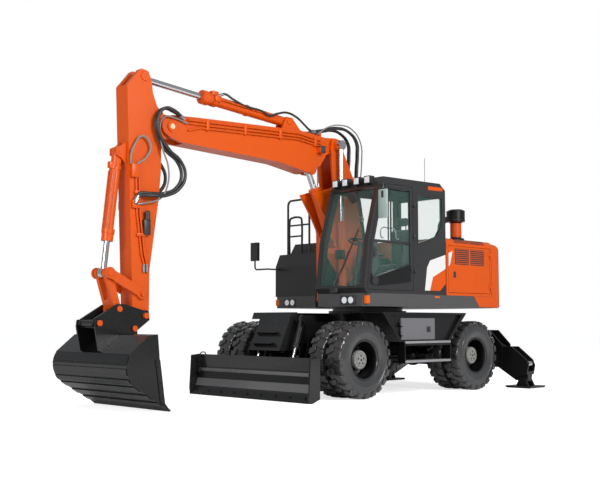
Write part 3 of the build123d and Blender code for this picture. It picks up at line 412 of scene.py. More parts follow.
def sprayed_enamel(name, code, roughness, worn=0.86, metal=0.0, coat=0.3):
    """Two-pack machine enamel over primed steel: fine orange peel, faint patches, soft gloss."""
    material, tree = new_material(name)
    patches, peel = noise(tree, 2.6, 6.0, 0.62), noise(tree, 260.0, 2.0)
    full = linear(code)
    return surface(material, {
        "Base Color": between(tree, patches, full, shade(full, worn)),
        "Roughness": between(tree, patches, roughness - 0.08, roughness + 0.12),
        "Normal": raised(tree, peel, 0.06), "IOR": 1.5, "Metallic": metal, "Specular IOR Level": 0.36,
        "Coat Weight": coat, "Coat Roughness": 0.08})


GLOSS_BLACK = ("black_paint", sprayed_enamel("gloss_black_chassis_enamel", "#0E0E0F", 0.27, 1.6, coat=0.2))
HUB_GREY = ("black_paint", sprayed_enamel("zinc_grey_hub_enamel", "#94948F", 0.4))


def nut_ring(name, count, radius, y, size, height):
    """Hexagon nuts standing on a disc that faces +Y."""
    made = []
    for k in range(count):
        angle = 2 * math.pi * k / count
        deselect()
        bpy.ops.mesh.primitive_cylinder_add(
            vertices=6, radius=size / 2, depth=height,
            location=(radius * math.sin(angle), y + height / 2, radius * math.cos(angle)),
            rotation=(math.pi / 2, 0, 0))
        made.append(rounded(named(name), size * 0.07, 1))
    return joined(name, made)


RIM_WALL = 0.011


def rim_section(y0, y1, open_end):
    """Closed section of one rolled rim between its two flanges; open_end is +1 or -1."""
    low, high = (y0, y1) if open_end > 0 else (y1, y0)
    # radius, distance in from the open flange: curl, seat, drop, seat, back flange
    run = [(0.276, 0.0), (0.282, 0.006), (0.278, 0.014), (0.258, 0.018), (0.253, 0.034), (0.2535, 0.07),
           (0.25, 0.11), (0.2535, 0.15)]
    outline = [(r, high - open_end * d) for r, d in run]
    outline += [(0.2545, low + open_end * 0.014), (0.274, low + open_end * 0.008), (0.276, low)]
    inner = [(r - RIM_WALL, y) for r, y in outline[::-1]]
    inner[-1] = (0.268, high + open_end * 0.001)
    return outline + inner


OUTER_TYRE_Y, INNER_TYRE_Y, DISC_Y = 0.99, 0.67, 0.972
rim_parts = [
    turned("rim_outer", rim_section(OUTER_TYRE_Y + 0.024, OUTER_TYRE_Y + TYRE_WIDTH - 0.02, 1)),
    turned("rim_inner", rim_section(INNER_TYRE_Y + 0.02, INNER_TYRE_Y + TYRE_WIDTH - 0.024, -1)),
]
disc = [(0.247, DISC_Y - 0.02), (0.247, DISC_Y + 0.012), (0.235, DISC_Y + 0.016), (0.205, DISC_Y + 0.006),
        (0.125, DISC_Y + 0.004), (0.125, DISC_Y - 0.012), (0.205, DISC_Y - 0.01)]
rim_parts.append(turned("rim_disc", disc))
rim_parts.append(nut_ring("wheel_nuts", 10, 0.1675, DISC_Y + 0.004, 0.034, 0.026))
rim_parts.append(turned("hub_barrel", [(0.139, DISC_Y), (0.139, 1.1), (0.134, 1.112), (0.128, 1.112),
                                       (0.1, 1.1), (0.1, DISC_Y)]))
rim = joined("rim", rim_parts)
cover_outline = [(0.002, 1.103), (0.128, 1.103), (0.128, 1.15), (0.122, 1.16), (0.088, 1.163),
                 (0.084, 1.17), (0.078, 1.172), (0.002, 1.172)]
cover = joined("hub_cover", [turned("planetary_cover", cover_outline),
                             nut_ring("cap_screws", 12, 0.106, 1.161, 0.018, 0.008)])
plugs = joined("hub_plugs", [nut_ring("jacking_plugs", 5, 0.056, 1.171, 0.03, 0.004),
                             nut_ring("oil_plug", 1, 0.0, 1.171, 0.03, 0.01)])
for end, side in WHEELS:
    body = f"wheel_{end}_{side}"
    axle = Vector(JOINTS[body]["pos_m"])
    sign = 1 if side == "left" else -1
    place = Matrix.Translation((axle.x, 0, axle.z)) @ Matrix.Scale(sign, 4, (0, 1, 0))
    twin = settle(copied(rim, f"rim_{end}_{side}", place), body, GLOSS_BLACK)
    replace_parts(twin, f"rims_{end}_{side}")
    settle(copied(cover, f"hub_cover_{end}_{side}", place), body, HUB_GREY)
    settle(copied(plugs, f"hub_plugs_{end}_{side}", place), body, GLOSS_BLACK)
for pattern in (rim, cover, plugs):
    bpy.data.objects.remove(pattern)

# ---- undercarriage ----
# The welded box frame, axles, step boxes, outriggers and blade, sprayed gloss or satin black, with a
# grey toolbox door; the rods of all cylinders are ground and hard-chromed.


def dress(finish, *nodes):
    """Gives CAD nodes their material; their slots stay as they are."""
    for node in nodes:
        for material_slot in frame["nodes"][node].material_slots:
            material_slot.material = finish[1]


PALE_GREY = ("pale_paint", sprayed_enamel("pale_grey_step_enamel", "#98989B", 0.42))
TOOLBOX_GREY = ("grey_paint", sprayed_enamel("mid_grey_toolbox_enamel", "#737376", 0.4))
SATIN_BLACK = ("black_paint", sprayed_enamel("satin_black_blade_enamel", "#1D1D1E", 0.24, 1.5, coat=0.4))
dress(GLOSS_BLACK, "chassis_frame", "front_axle", "rear_axle", "knuckle_left", "knuckle_right", "driveline",
      "side_console_left", "side_console_right",
      *[f"outrigger_{piece}_{side}" for side in ("left", "right") for piece in ("leg", "pad", "barrel")])
dress(TOOLBOX_GREY, "toolbox_door_left")
dress(SATIN_BLACK, "front_step_box", "blade", "blade_cylinder_barrels")


def hard_chrome(name):
    """Ground and hard-chromed rod: near mirror, with a faint wiped oil film along it."""
    material, tree = new_material(name)
    return surface(material, {"Base Color": linear("#D9DADC"), "Metallic": 1.0,
                              "Roughness": between(tree, noise(tree, 9.0, 3.0), 0.08, 0.2)})


dress(("chrome_rod", hard_chrome("hard_chromed_rod")), "blade_cylinder_rods", "outrigger_rod_left",
      "outrigger_rod_right", "lift_cylinder_rods", "positioning_rod", "arm_cylinder_rod",
      "bucket_cylinder_rod")

# ---- upper structure panels ----
# Pressed and welded steel covers: orange engine covers and counterweight, dark grey deck edge,
# tank housing and cab.
ORANGE = ("orange_paint", sprayed_enamel("orange_machine_enamel", "#DE5500", 0.34, 0.9, coat=0.06))
DARK_GREY = ("grey_paint", sprayed_enamel("dark_grey_machine_enamel", "#4C4B4B", 0.36, 1.2))
CAB_BLACK = ("grey_paint", sprayed_enamel("near_black_cab_enamel", "#2B2B2C", 0.3, 1.3, coat=0.3))
dress(ORANGE, "engine_housing", "engine_door_left", "engine_door_right", "hood_lid", "counterweight",
      "base_boom", "front_boom", "arm", "arm_cylinder_barrel", "bucket_cylinder_barrel",
      "positioning_barrel", "lift_cylinder_barrels", "idler_links", "bucket_link")
dress(DARK_GREY, "upper_frame")
dress(CAB_BLACK, "cab_shell", "cab_door", "tank_housing", "handrails_and_mirror")
dress(GLOSS_BLACK, "coupler", "bucket", "intake_and_exhaust")


def safety_glass(name, code, alpha):
    """Laminated glass with a faint green tint, clear enough to show the cab's inside."""
    material, tree = new_material(name)
    return surface(material, {"Base Color": linear(code), "IOR": 1.5, "Alpha": alpha,
                              "Roughness": between(tree, noise(tree, 9.0, 3.0), 0.015, 0.055)})


dress(("cab_glass", safety_glass("green_tinted_safety_glass", "#8DBBAE", 0.075)), "cab_glass", "door_glass")

# ---- engine covers ----
# Laser-cut louvres in both engine doors and over the covers' rounded shoulder, black mesh behind
# orange slats, with black flush latches and the deck edge's orange tail.


def slab(name, low, high, bevel=0.003):
    """A box between two corners, with its edges rounded."""
    deselect()
    bpy.ops.mesh.primitive_cube_add(size=1, location=[(a + b) / 2 for a, b in zip(low, high)],
                                    scale=[abs(b - a) for a, b in zip(low, high)])
    piece = named(name)
    bpy.ops.object.transform_apply()
    return rounded(piece, bevel)


def stud(name, start, end, radius, sides=24, bevel=0.0015):
    """A round bar between two points."""
    start, end = Vector(start), Vector(end)
    deselect()
    bpy.ops.mesh.primitive_cylinder_add(vertices=sides, radius=radius, depth=(end - start).length,
                                        location=(start + end) / 2,
                                        rotation=(end - start).to_track_quat("Z", "Y").to_euler())
    piece = named(name)
    bpy.ops.object.transform_apply()
    return rounded(piece, bevel, 1)


def panel(name, outline, y0, y1, bevel=0.002):
    """An outline of (x, z) points made into a plate from y0 to y1."""
    return rounded(lofted(name, [[(x, y, z) for x, z in outline] for y in (y0, y1)]), bevel, 1)


BLACK_PLASTIC = ("black_plastic", moulded_rubber("grained_black_plastic", "#242425", 0.4, 1.5))
dress(BLACK_PLASTIC, "cab_controls")
dress(("grey_paint", sprayed_enamel("painted_engine_iron", "#3B3B3C", 0.5, 1.2)), "engine")
SLAT_PITCH, SLOT_PITCH = 0.03, 0.042
SHOULDER_Y, SHOULDER_Z, SHOULDER_RADIUS = 1.16, 2.21, 0.08
INTAKE, EXHAUST = (-1.15, 0.85), (-0.8, 0.82)
for side, sign in (("left", 1), ("right", -1)):
    body = f"engine_door_{side}"
    mesh, slats = [], []
    for x0, x1 in ((-1.345, -0.985), (-0.945, -0.585)):
        mesh.append(slab("mesh", (x0, sign * 1.236, 1.9), (x1, sign * 1.2412, 2.145)))
        for z in (1.915 + SLAT_PITCH * k for k in range(8)):
            slats.append(slab("slat", (x0 + 0.01, sign * 1.24, z), (x1 - 0.01, sign * 1.245, z + 0.011),
                              0.0012))
    grouped(f"louvre_mesh_{side}", mesh, body, BLACK_PLASTIC)
    grouped(f"louvre_slats_{side}", slats, body, ORANGE)
    latch = [slab("latch", (-0.6, sign * 1.238, 1.7), (-0.55, sign * 1.249, 1.79)),
             stud("lock", (-0.575, sign * 1.245, 1.72), (-0.575, sign * 1.252, 1.72), 0.011)]
    grouped(f"door_latch_{side}", latch, body, BLACK_PLASTIC)
    shoulder = []
    for x0 in (-1.34, -0.94):
        for x in (x0 + SLOT_PITCH * k for k in range(9)):
            slot = slab("slot", (x, -0.035, 0.0765), (x + 0.022, 0.035, 0.0815), 0.0015)
            slot.data.transform(Matrix.Translation((0, sign * SHOULDER_Y, SHOULDER_Z))
                                @ Matrix.Rotation(-sign * 0.98, 4, "X"))
            shoulder.append(slot)
    grouped(f"shoulder_louvre_{side}", shoulder, "upper", BLACK_PLASTIC)
    tail_edge = [(-1.06, 1.428), (-1.538, 1.428), (-1.538, 1.262), (-1.2, 1.262)]
    settle(panel(f"deck_tail_{side}", tail_edge, sign * 1.236, sign * 1.2455), "upper", ORANGE)
settle(stud("intake_neck", (*INTAKE, 2.365), (*INTAKE, 2.585), 0.089, 40), "upper", ORANGE)
bands = []
for z in (2.635, 2.775):
    bpy.ops.mesh.primitive_torus_add(location=(*INTAKE, z), major_radius=0.145, minor_radius=0.005,
                                     major_segments=56, minor_segments=10)
    bands.append(named("band"))
grouped("drum_bands", bands, "upper", BLACK_PLASTIC)

# ---- engine housing ----
# Folded sheet cover over the engine with rounded shoulders, open where the doors and the lid lie,
# its hinge leaves spot-welded beside them. It stands for the square-edged solid.
WALL = 0.04


def housing_edge(radius):
    """The cover's section, up one side, over both rounded shoulders and down."""
    half = [(SHOULDER_Y + radius, 1.431), (SHOULDER_Y + radius, SHOULDER_Z)]
    half += [(SHOULDER_Y + radius * math.cos(a), SHOULDER_Z + radius * math.sin(a))
             for a in (k * math.pi / 16 for k in range(1, 9))]
    return half + [(-y, z) for y, z in half[::-1]]


outer_edge, inner_edge = housing_edge(SHOULDER_RADIUS), housing_edge(SHOULDER_RADIUS - WALL)
cover = lofted("engine_cover", [[(x, y, z) for y, z in outer_edge + inner_edge[::-1]]
                                for x in (-1.5395, -0.3755)])
cutters = [slab("cutter", (-1.5, -2, 1.47), (-0.42, 2, 2.18), 0.0005),
           slab("cutter", (-1.38, -0.76, 2.15), (-0.52, 0.56, 2.4), 0.0005)]
for cutter in cutters:
    apply_modifier(cover, "BOOLEAN", operation="DIFFERENCE", object=cutter, solver="EXACT")
    bpy.data.objects.remove(cutter)
ends = [lofted("end", [[(x, y * 0.9995, z) for y, z in outer_edge] for x in span])
        for span in ((-1.539, -1.5), (-0.4155, -0.376))]


def both_sides(pieces):
    """The pieces of the left side and their mirror images on the right."""
    return pieces + [copied(piece, piece.name, Matrix.Scale(-1, 4, (0, 1, 0))) for piece in pieces]


leaves = []
EYE_LOW, EYE_HIGH, PIN = 0.0235, 0.045, 0.0135
for z in (1.56, 2.06):
    leaves.append(slab("leaf", (-1.535, 1.239, z - EYE_HIGH), (-1.506, 1.246, z + EYE_HIGH), 0.002))
    for low, high in ((z + EYE_LOW, z + EYE_HIGH), (z - EYE_HIGH, z - EYE_LOW)):
        leaves.append(stud("knuckle", (-1.5, 1.256, low), (-1.5, 1.256, high), PIN, 20))
leaves = both_sides(leaves)
for y in (-0.5, 0.34):
    leaves.append(slab("leaf", (-1.43, y - EYE_HIGH, 2.289), (-1.386, y + EYE_HIGH, 2.296), 0.002))
    for low, high in ((y + EYE_LOW, y + EYE_HIGH), (y - EYE_HIGH, y - EYE_LOW)):
        leaves.append(stud("knuckle", (-1.38, low, 2.306), (-1.38, high, 2.306), PIN, 20))
cover = joined("engine_cover", [cover] + ends + leaves)
settle(cover, "upper", ORANGE, 25)
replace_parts(cover, "engine_housing")

# ---- lamps and reflectors ----
# Sealed work lamps with clear lenses, amber indicators and red tail lamps, all in black housings. The lenses
# have a weak painted glow.


def lens(name, code, glow):
    """A finish of moulded acrylic, ribbed inside, with a weak emission as painted glow for the reflector's
    brightness.
    """
    material, tree = new_material(name)
    place = add_node(tree, "ShaderNodeTexCoord", {})
    ribs = add_node(tree, "ShaderNodeTexWave", {
        "Vector": (place, "Object"), "Scale": 40.0, "Distortion": 0.5})
    full = linear(code)
    # The emission is painted glow: the lens shines with a fixed share of its own colour, standing in for
    # light off the reflector behind it.
    return "cab_glass", surface(material, {
        "Base Color": between(tree, (ribs, "Fac"), shade(full, 0.62), full), "Roughness": 0.08, "IOR": 1.49,
        "Emission Color": full, "Emission Strength": glow})


CLEAR_LENS = lens("clear_acrylic_lens", "#EEF2F4", 0.25)
AMBER_LENS = lens("amber_acrylic_lens", "#F06A12", 0.08)
RED_LENS = lens("red_acrylic_lens", "#A51410", 0.05)
clear = [slab("lamp", (1.186, y - 0.044, 2.972), (1.1945, y + 0.044, 3.058), 0.006)
         for y in (0.45, 0.64, 0.86, 1.06)]
clear += [stud("lamp", (1.41, y, 1.335), (1.431, y, 1.335), 0.046, 32, 0.004) for y in (0.84, 0.96)]
clear += [stud("lamp", (0.8, y, 1.335), (0.824, y, 1.335), 0.044, 32, 0.004) for y in (-0.95, -0.83)]
grouped("lamp_lenses", clear, "upper", CLEAR_LENS)
amber = [stud("indicator", (1.352, 1.197, 1.285), (1.352, 1.197, 1.395), 0.042, 32, 0.008),
         stud("indicator", (0.8, -1.165, 1.29), (0.8, -1.165, 1.385), 0.04, 32, 0.008),
         slab("reflector", (-0.2, 1.238, 1.385), (-0.09, 1.2435, 1.412), 0.001),
         slab("reflector", (-0.2, -1.2435, 1.385), (-0.09, -1.238, 1.412), 0.001)]
grouped("indicators", amber, "upper", AMBER_LENS)
housings = [slab("housing", (1.395, 0.76, 1.275), (1.424, 1.04, 1.395), 0.01),
            slab("housing", (0.79, -1.03, 1.275), (0.816, -0.75, 1.395), 0.01),
            stud("beam", (1.13, 0.8, 2.8), (1.215, 0.8, 2.785), 0.082, 36, 0.012),
            stud("beam", (1.08, 0.8, 2.87), (1.15, 0.8, 2.8), 0.018)]
grouped("lamp_housings", housings, "upper", BLACK_PLASTIC)
square = joined("boom_lamp", [slab("lamp", (1.158, 0.226, 3.498), (1.252, 0.2335, 3.592), 0.006),
                              slab("shade", (1.15, 0.16, 3.588), (1.26, 0.2345, 3.6), 0.004)])
settle(square, "front_boom", BLACK_PLASTIC)
glass = slab("boom_lamp_lens", (1.172, 0.2325, 3.512), (1.238, 0.2365, 3.578), 0.003)
settle(glass, "front_boom", lens("smoked_lamp_lens", "#4A4C4E", 0.0))

# ---- cab outside ----
# Bonded panels and trim on the cab: orange and white side panel, orange roof panel, the door's mid
# rail, lower trim and mirror, grab handles, windscreen wiper, aerial and rubber window seals.
WHITE = ("pale_paint", sprayed_enamel("white_machine_enamel", "#E9E7E4", 0.34, 0.93))
PALE_PLASTIC = ("black_plastic", moulded_rubber("pale_grey_plastic", "#8FA09B", 0.35, 1.5))
SIDE_PANELS = (
    ("side_panel_orange", ORANGE, [(0.023, 1.49), (-0.216, 1.49), (-0.358, 1.6), (-0.358, 1.815),
                                   (-0.049, 1.69)]),
    ("side_panel_white", WHITE, [(0.136, 1.49), (0.018, 1.49), (-0.054, 1.69), (-0.358, 1.82), (-0.358, 2.03),
                                 (0.008, 1.93), (0.08, 1.825)]),
    ("roof_panel_orange", ORANGE, [(0.04, 2.965), (-0.3, 2.975), (-0.3, 3.03), (0.04, 3.02)]),
)
for name, finish, outline in SIDE_PANELS:
    settle(panel(name, outline, 1.233, 1.2385), "upper", finish)
door_stripe = [(-0.432, 1.86), (-0.47, 1.9), (-0.53, 2.1), (-0.432, 2.06)]
settle(panel("door_stripe", door_stripe, 1.238, 1.2415), "engine_door_left", WHITE)


def hose(name, points, radius, rings=3):
    """A smooth round line through its points."""
    curve = bpy.data.curves.new(name, "CURVE")
    curve.dimensions = "3D"
    curve.bevel_depth = radius
    curve.bevel_resolution = rings
    curve.resolution_u = 10
    curve.use_fill_caps = True
    spline = curve.splines.new("BEZIER")
    spline.bezier_points.add(len(points) - 1)
    for knot, point in zip(spline.bezier_points, points):
        knot.co = point
        knot.handle_left_type = knot.handle_right_type = "AUTO"
    piece = bpy.data.objects.new(name, curve)
    bpy.context.scene.collection.objects.link(piece)
    activate(piece)
    bpy.ops.object.convert(target="MESH")
    return named(name)


door_trim = [slab("rail", (0.435, 1.196, 2.135), (1.275, 1.225, 2.172), 0.006),
             slab("slider", (0.845, 1.196, 2.165), (0.862, 1.216, 2.905), 0.003),
             slab("slider", (0.9, 1.196, 2.165), (0.914, 1.214, 2.9), 0.003),
             panel("trim", [(1.205, 1.655), (1.31, 1.69), (1.265, 2.14), (1.13, 2.14), (1.1, 1.8)],
                   1.193, 1.203),
             panel("trim", [(0.45, 1.85), (0.62, 1.8), (0.56, 2.14), (0.45, 2.14)], 1.193, 1.203),
             stud("vent", (1.22, 1.23, 1.6), (1.22, 1.246, 1.6), 0.062, 40, 0.006),
             slab("handle", (1.215, 1.234, 1.93), (1.262, 1.256, 2.06), 0.006)]
grouped("door_trim", door_trim, "cab_door", BLACK_PLASTIC)
dark_glass = [(0.455, 1.6), (1.2, 1.525), (1.325, 1.55), (1.345, 1.6), (1.318, 1.7), (1.272, 1.628),
              (0.455, 1.848)]
settle(panel("door_lower_glass", dark_glass, 1.232, 1.2375), "cab_door", ("cab_glass", GLOSS_BLACK[1]))
half_grab = [(0.16, 1.212, 2.2), (0.16, 1.175, 2.215), (0.16, 1.165, 2.3), (0.13, 1.165, 2.345)]
grab_line = [(0.86 + x, y, z) for x, y, z in half_grab] + [(0.86, 1.165, 2.35)]
grab_line += [(0.86 - x, y, z) for x, y, z in half_grab[::-1]]
settle(hose("door_grab", grab_line, 0.009), "cab_door", PALE_GREY)
bracket = hose("mirror_bracket", [(1.02, 1.225, 2.925), (1.06, 1.27, 2.945), (1.13, 1.31, 2.945),
                                  (1.145, 1.318, 2.9), (1.145, 1.318, 2.8)], 0.01)
grouped("door_mirror_bracket", [bracket, slab("clamp", (1.127, 1.296, 2.74), (1.163, 1.34, 2.84), 0.006)],
       "cab_door", BLACK_PLASTIC)
settle(slab("door_mirror", (1.135, 1.235, 2.46), (1.16, 1.4, 2.86), 0.012), "cab_door", PALE_PLASTIC)
MIRROR = ("chrome_rod", hard_chrome("silvered_mirror_glass"))
settle(slab("door_mirror_glass", (1.1325, 1.247, 2.472), (1.1365, 1.388, 2.848), 0.002), "cab_door", MIRROR)
settle(slab("right_mirror_glass", (1.0325, -1.5, 2.02), (1.0365, -1.36, 2.27), 0.002), "upper", MIRROR)
arm_line = [(1.452, 0.67, 1.475), (1.452, 0.7, 1.56), (1.405, 0.83, 1.86), (1.386, 0.9, 2.02)]
wiper = [hose("wiper_arm", arm_line, 0.011),
         slab("wiper_motor", (1.425, 0.6, 1.435), (1.47, 0.74, 1.5), 0.012),
         slab("wiper_blade", (-0.006, -0.008, -0.33), (0.006, 0.008, 0.33), 0.002)]
wiper[-1].data.transform(Matrix.Translation((1.378, 0.905, 2.02))
                         @ Matrix.Rotation(math.radians(-7.4), 4, "Y")
                         @ Matrix.Rotation(math.radians(-24), 4, "X"))
grouped("windscreen_wiper", wiper, "upper", BLACK_PLASTIC)
AERIAL = (-0.12, 1.05)
aerial = [stud("foot", (*AERIAL, 3.06), (*AERIAL, 3.105), 0.03),
          stud("whip", (*AERIAL, 3.1), (*AERIAL, 3.48), 0.004, 10, 0.001)]
grouped("aerial", aerial, "upper", BLACK_PLASTIC)
SEAL = ("tyre_rubber", moulded_rubber("window_seal_rubber", "#1C1C1D", 0.45, 2.0))


def seal(name, outline, y, radius=0.008):
    """A square-cornered rubber line round a window."""
    runs = [stud("seal", (a[0], y, a[1]), (b[0], y, b[1]), radius, 8, 0.001)
            for a, b in zip(outline, outline[1:] + outline[:1])]
    return joined(name, runs)


quarter = [(0.29, 2.16), (-0.15, 2.29), (-0.3, 2.48), (-0.3, 2.86), (0.29, 2.88)]
settle(seal("quarter_window_seal", quarter, 1.236), "upper", SEAL)
window = [(0.455, 1.86), (1.265, 1.64), (1.305, 1.7), (1.255, 2.125), (1.05, 2.87), (1.005, 2.9),
          (0.455, 2.91)]
settle(seal("door_window_seal", window, 1.236), "cab_door", SEAL)

# ---- seat and cab inside ----
# A suspension seat of foam in black woven cloth: crowned cushion and backrest sewn in channels, a
# small headrest on two posts, on a steel pedestal. Grained consoles, joystick grips and a monitor.


def woven_cloth(name, code):
    """Coarse black seat cloth: warp and weft ribs under a soft sheen."""
    material, tree = new_material(name)
    place = add_node(tree, "ShaderNodeTexCoord", {})
    warp, weft = [add_node(tree, "ShaderNodeTexWave", {"Vector": (place, "Object"), "Scale": 130.0},
                           bands_direction=way) for way in "YZ"]
    weave = add_node(tree, "ShaderNodeMath", {0: (warp, "Fac"), 1: (weft, "Fac")}, operation="MULTIPLY")
    dark = linear(code)
    return surface(material, {
        "Base Color": between(tree, noise(tree, 14.0, 5.0), dark, shade(dark, 2.6, 0.004)),
        "Roughness": 0.85, "Normal": raised(tree, (weave, "Value"), 0.35), "Sheen Weight": 0.4})


SEAT_CLOTH = ("seat_fabric", woven_cloth("black_woven_seat_cloth", "#1B1B1D"))
SEAT_BULGE, SEAT_VOXEL, SEAT_PRESSURE = 0.022, 0.011, 4.0


def stuffed(name, low, high, seams):
    """Foam under cloth: a rounded block blown out between its sewn seams, (axis, place) each."""
    piece = slab(name, low, high, 0.035)
    apply_modifier(piece, "REMESH", mode="VOXEL", voxel_size=SEAT_VOXEL)
    held = [v.index for v in piece.data.vertices
            if any(abs(v.co[axis] - place) < 0.0065 for axis, place in seams)]
    piece.vertex_groups.new(name="seams").add(held, 1.0, "REPLACE")
    before = [v.co.copy() for v in piece.data.vertices]
    activate(piece)
    cloth = piece.modifiers.new("cloth", "CLOTH")
    cloth.settings.use_pressure = True
    cloth.settings.uniform_pressure_force = SEAT_PRESSURE
    cloth.settings.vertex_group_mass = "seams"
    cloth.settings.effector_weights.gravity = 0.0
    for step in range(1, 21):
        bpy.context.scene.frame_set(step)
    bpy.ops.object.modifier_apply(modifier=cloth.name)
    for vertex, start in zip(piece.data.vertices, before):
        moved = vertex.co - start
        if moved.length > SEAT_BULGE:
            vertex.co = start + moved.normalized() * SEAT_BULGE
    bpy.context.scene.frame_set(1)
    apply_modifier(piece, "SUBSURF", levels=1)
    piece.vertex_groups.clear()
    return piece


cushion = stuffed("seat_cushion", (0.08, 0.55, 1.775), (0.505, 0.99, 1.865),
                  [(1, 0.66), (1, 0.88), (2, 1.79)])
backrest = stuffed("seat_backrest", (0.045, 0.575, 1.885), (0.125, 0.965, 2.405),
                   [(1, 0.68), (1, 0.86), (2, 2.05), (2, 2.25)])
headrest = stuffed("seat_headrest", (0.04, 0.665, 2.455), (0.1, 0.875, 2.585), [(2, 2.52)])
for piece in (cushion, backrest, headrest):
    settle(piece, "upper", SEAT_CLOTH, 60)
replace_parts(cushion, "seat")
stand = [slab("pedestal", (0.16, 0.63, 1.481), (0.42, 0.91, 1.6), 0.01),
         slab("suspension", (0.19, 0.66, 1.6), (0.39, 0.88, 1.72), 0.02),
         slab("pan", (0.075, 0.545, 1.715), (0.505, 0.995, 1.782), 0.012),
         slab("back_pan", (0.022, 0.56, 1.8), (0.052, 0.98, 2.4), 0.012)]
stand += [stud("post", (0.062, y, 2.38), (0.062, y, 2.48), 0.008) for y in (0.71, 0.83)]
stand += [slab("armrest", (0.12, y - 0.035, 2.02), (0.46, y + 0.035, 2.06), 0.015) for y in (0.43, 1.11)]
grouped("seat_stand", stand, "upper", BLACK_PLASTIC)
inside = [stud("grip", (0.512, y, 2.1), (0.5, y, 2.2), 0.026, 24, 0.01) for y in (0.43, 1.11)]
inside += [slab("monitor", (1.1, 0.385, 1.93), (1.13, 0.56, 2.07), 0.008),
           stud("stalk", (1.125, 0.43, 1.6), (1.125, 0.43, 1.95), 0.014),
           slab("floor_mat", (0.42, 0.37, 1.48), (1.33, 1.17, 1.492), 0.004),
           slab("rear_shelf", (-0.315, 0.37, 1.49), (-0.02, 1.17, 1.98), 0.02)]
grouped("cab_fittings", inside, "upper", BLACK_PLASTIC)
# The monitor glass gets the lens finish, so its screen has a weak painted glow.
screen = slab("monitor_screen", (1.0975, 0.397, 1.945), (1.1015, 0.548, 2.055), 0.001)
settle(screen, "upper", lens("monitor_glass", "#24323A", 0.3))

# ---- counterweight, intake and exhaust ----
# A cast counterweight, rounded at its rim and corners; a spun pre-cleaner bowl on its neck and a
# bent tail pipe. Each stands for its plainer solid. Pressed ribs and filler cap on the tank, and a
# second loop of handrail beside it.
TAIL_EDGE = ((-1.54, 1.24), (-1.68, 1.24), (-1.745, 1.231), (-1.8, 1.202), (-1.862, 1.148),
             (-1.918, 1.08), (-1.96, 0.98), (-2.03, 0.66), (-2.082, 0.32), (-2.1, 0.0))
rings = []
for z, inset in ((1.256, 0.014), (1.275, 0.0), (2.18, 0.0), (2.222, 0.012), (2.25, 0.036), (2.265, 0.072),
                 (2.268, 0.12)):
    half_ring = [(x + (inset if x < -1.55 else 0), max(0, y - inset)) for x, y in TAIL_EDGE]
    rings.append([(x, y, z) for x, y in half_ring] + [(x, -y, z) for x, y in half_ring[-2::-1]])
weight = lofted("rounded_counterweight", rings)
settle(weight, "upper", ORANGE, 25)
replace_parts(weight, "counterweight")
tail_lamps = both_sides([slab("lamp", (-2.037, 0.71, 1.33), (-2.007, 0.89, 1.4), 0.004)])
grouped("tail_lamps", tail_lamps, "upper", RED_LENS)
eyes = both_sides([stud("lifting_socket", (-1.8, 0.62, 2.262), (-1.8, 0.62, 2.272), 0.05, 32)])
eyes.append(slab("seam", (-1.542, -1.2412, 1.262), (-1.5372, 1.2412, 2.2), 0.0005))
grouped("counterweight_trim", eyes, "upper", GLOSS_BLACK)


def upright(name, outline, place, steps=64):
    """A closed outline of (radius, z), spun about a vertical line through a place (x, y)."""
    piece = turned(name, outline, steps)
    piece.data.transform(Matrix.Translation((*place, 0)) @ Matrix.Rotation(math.pi / 2, 4, "X"))
    return piece


bowl = [(0.002, 2.291), (0.128, 2.291), (0.13, 2.345), (0.086, 2.36), (0.086, 2.59), (0.12, 2.606),
        (0.145, 2.612), (0.145, 2.775), (0.132, 2.792), (0.11, 2.803), (0.002, 2.808)]
collar = [(0.03, 2.291), (0.084, 2.291), (0.084, 2.325), (0.06, 2.335), (0.03, 2.335)]
tail_pipe = [(*EXHAUST, 2.3), (*EXHAUST, 2.48), (-0.815, 0.82, 2.55), (-0.86, 0.82, 2.6),
             (-0.94, 0.82, 2.635)]
stacks = [upright("intake", bowl, INTAKE), upright("collar", collar, EXHAUST),
          hose("pipe", tail_pipe, 0.05, 6)]
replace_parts(grouped("intake_and_tail_pipe", stacks, "upper", GLOSS_BLACK), "intake_and_exhaust")
ribs = [slab("rib", (x, -1.236, 1.56), (x + 0.06, -1.2455, 2.07), 0.004) for x in (-0.2, 0.08, 0.36)]
ribs.append(stud("filler", (0.59, -0.5, 2.095), (0.59, -0.5, 2.145), 0.055, 40, 0.008))
grouped("tank_ribs", ribs, "upper", CAB_BLACK)
RAIL_X = 0.54
RAIL = ((-1.18, 2.095), (-1.18, 2.62), (-1.165, 2.68), (-1.11, 2.7), (-0.97, 2.7), (-0.915, 2.68),
        (-0.9, 2.62), (-0.9, 2.095))
rails = [hose("rail", [(RAIL_X, y, z) for y, z in RAIL], 0.017),
         stud("rail", (RAIL_X, -1.18, 2.4), (RAIL_X, -0.9, 2.4), 0.014)]
grouped("side_handrail", rails, "upper", CAB_BLACK)

# ---- boom and arm pipes ----
# Painted steel pipes in saddle clamps down both sides of the front boom and the arm, with valve
# blocks, plated couplings, a cream cap on the arm's pivot pin, and the collars and ports of two
# cylinders.
ZINC = ("chrome_rod", sprayed_enamel("zinc_plated_steel", "#B4B5B6", 0.3, 0.85, metal=0.9, coat=0.0))
boom_pipes, arm_pipes = [], []


def run(name, points, radius):
    """Straight pipe runs through points, with a ball at each bend."""
    runs = [stud("run", a, b, radius, 16, 0.001) for a, b in zip(points, points[1:])]
    for point in points[1:-1]:
        deselect()
        bpy.ops.mesh.primitive_uv_sphere_add(segments=16, ring_count=8, radius=radius, location=point)
        runs.append(named("bend"))
    return joined(name, runs)


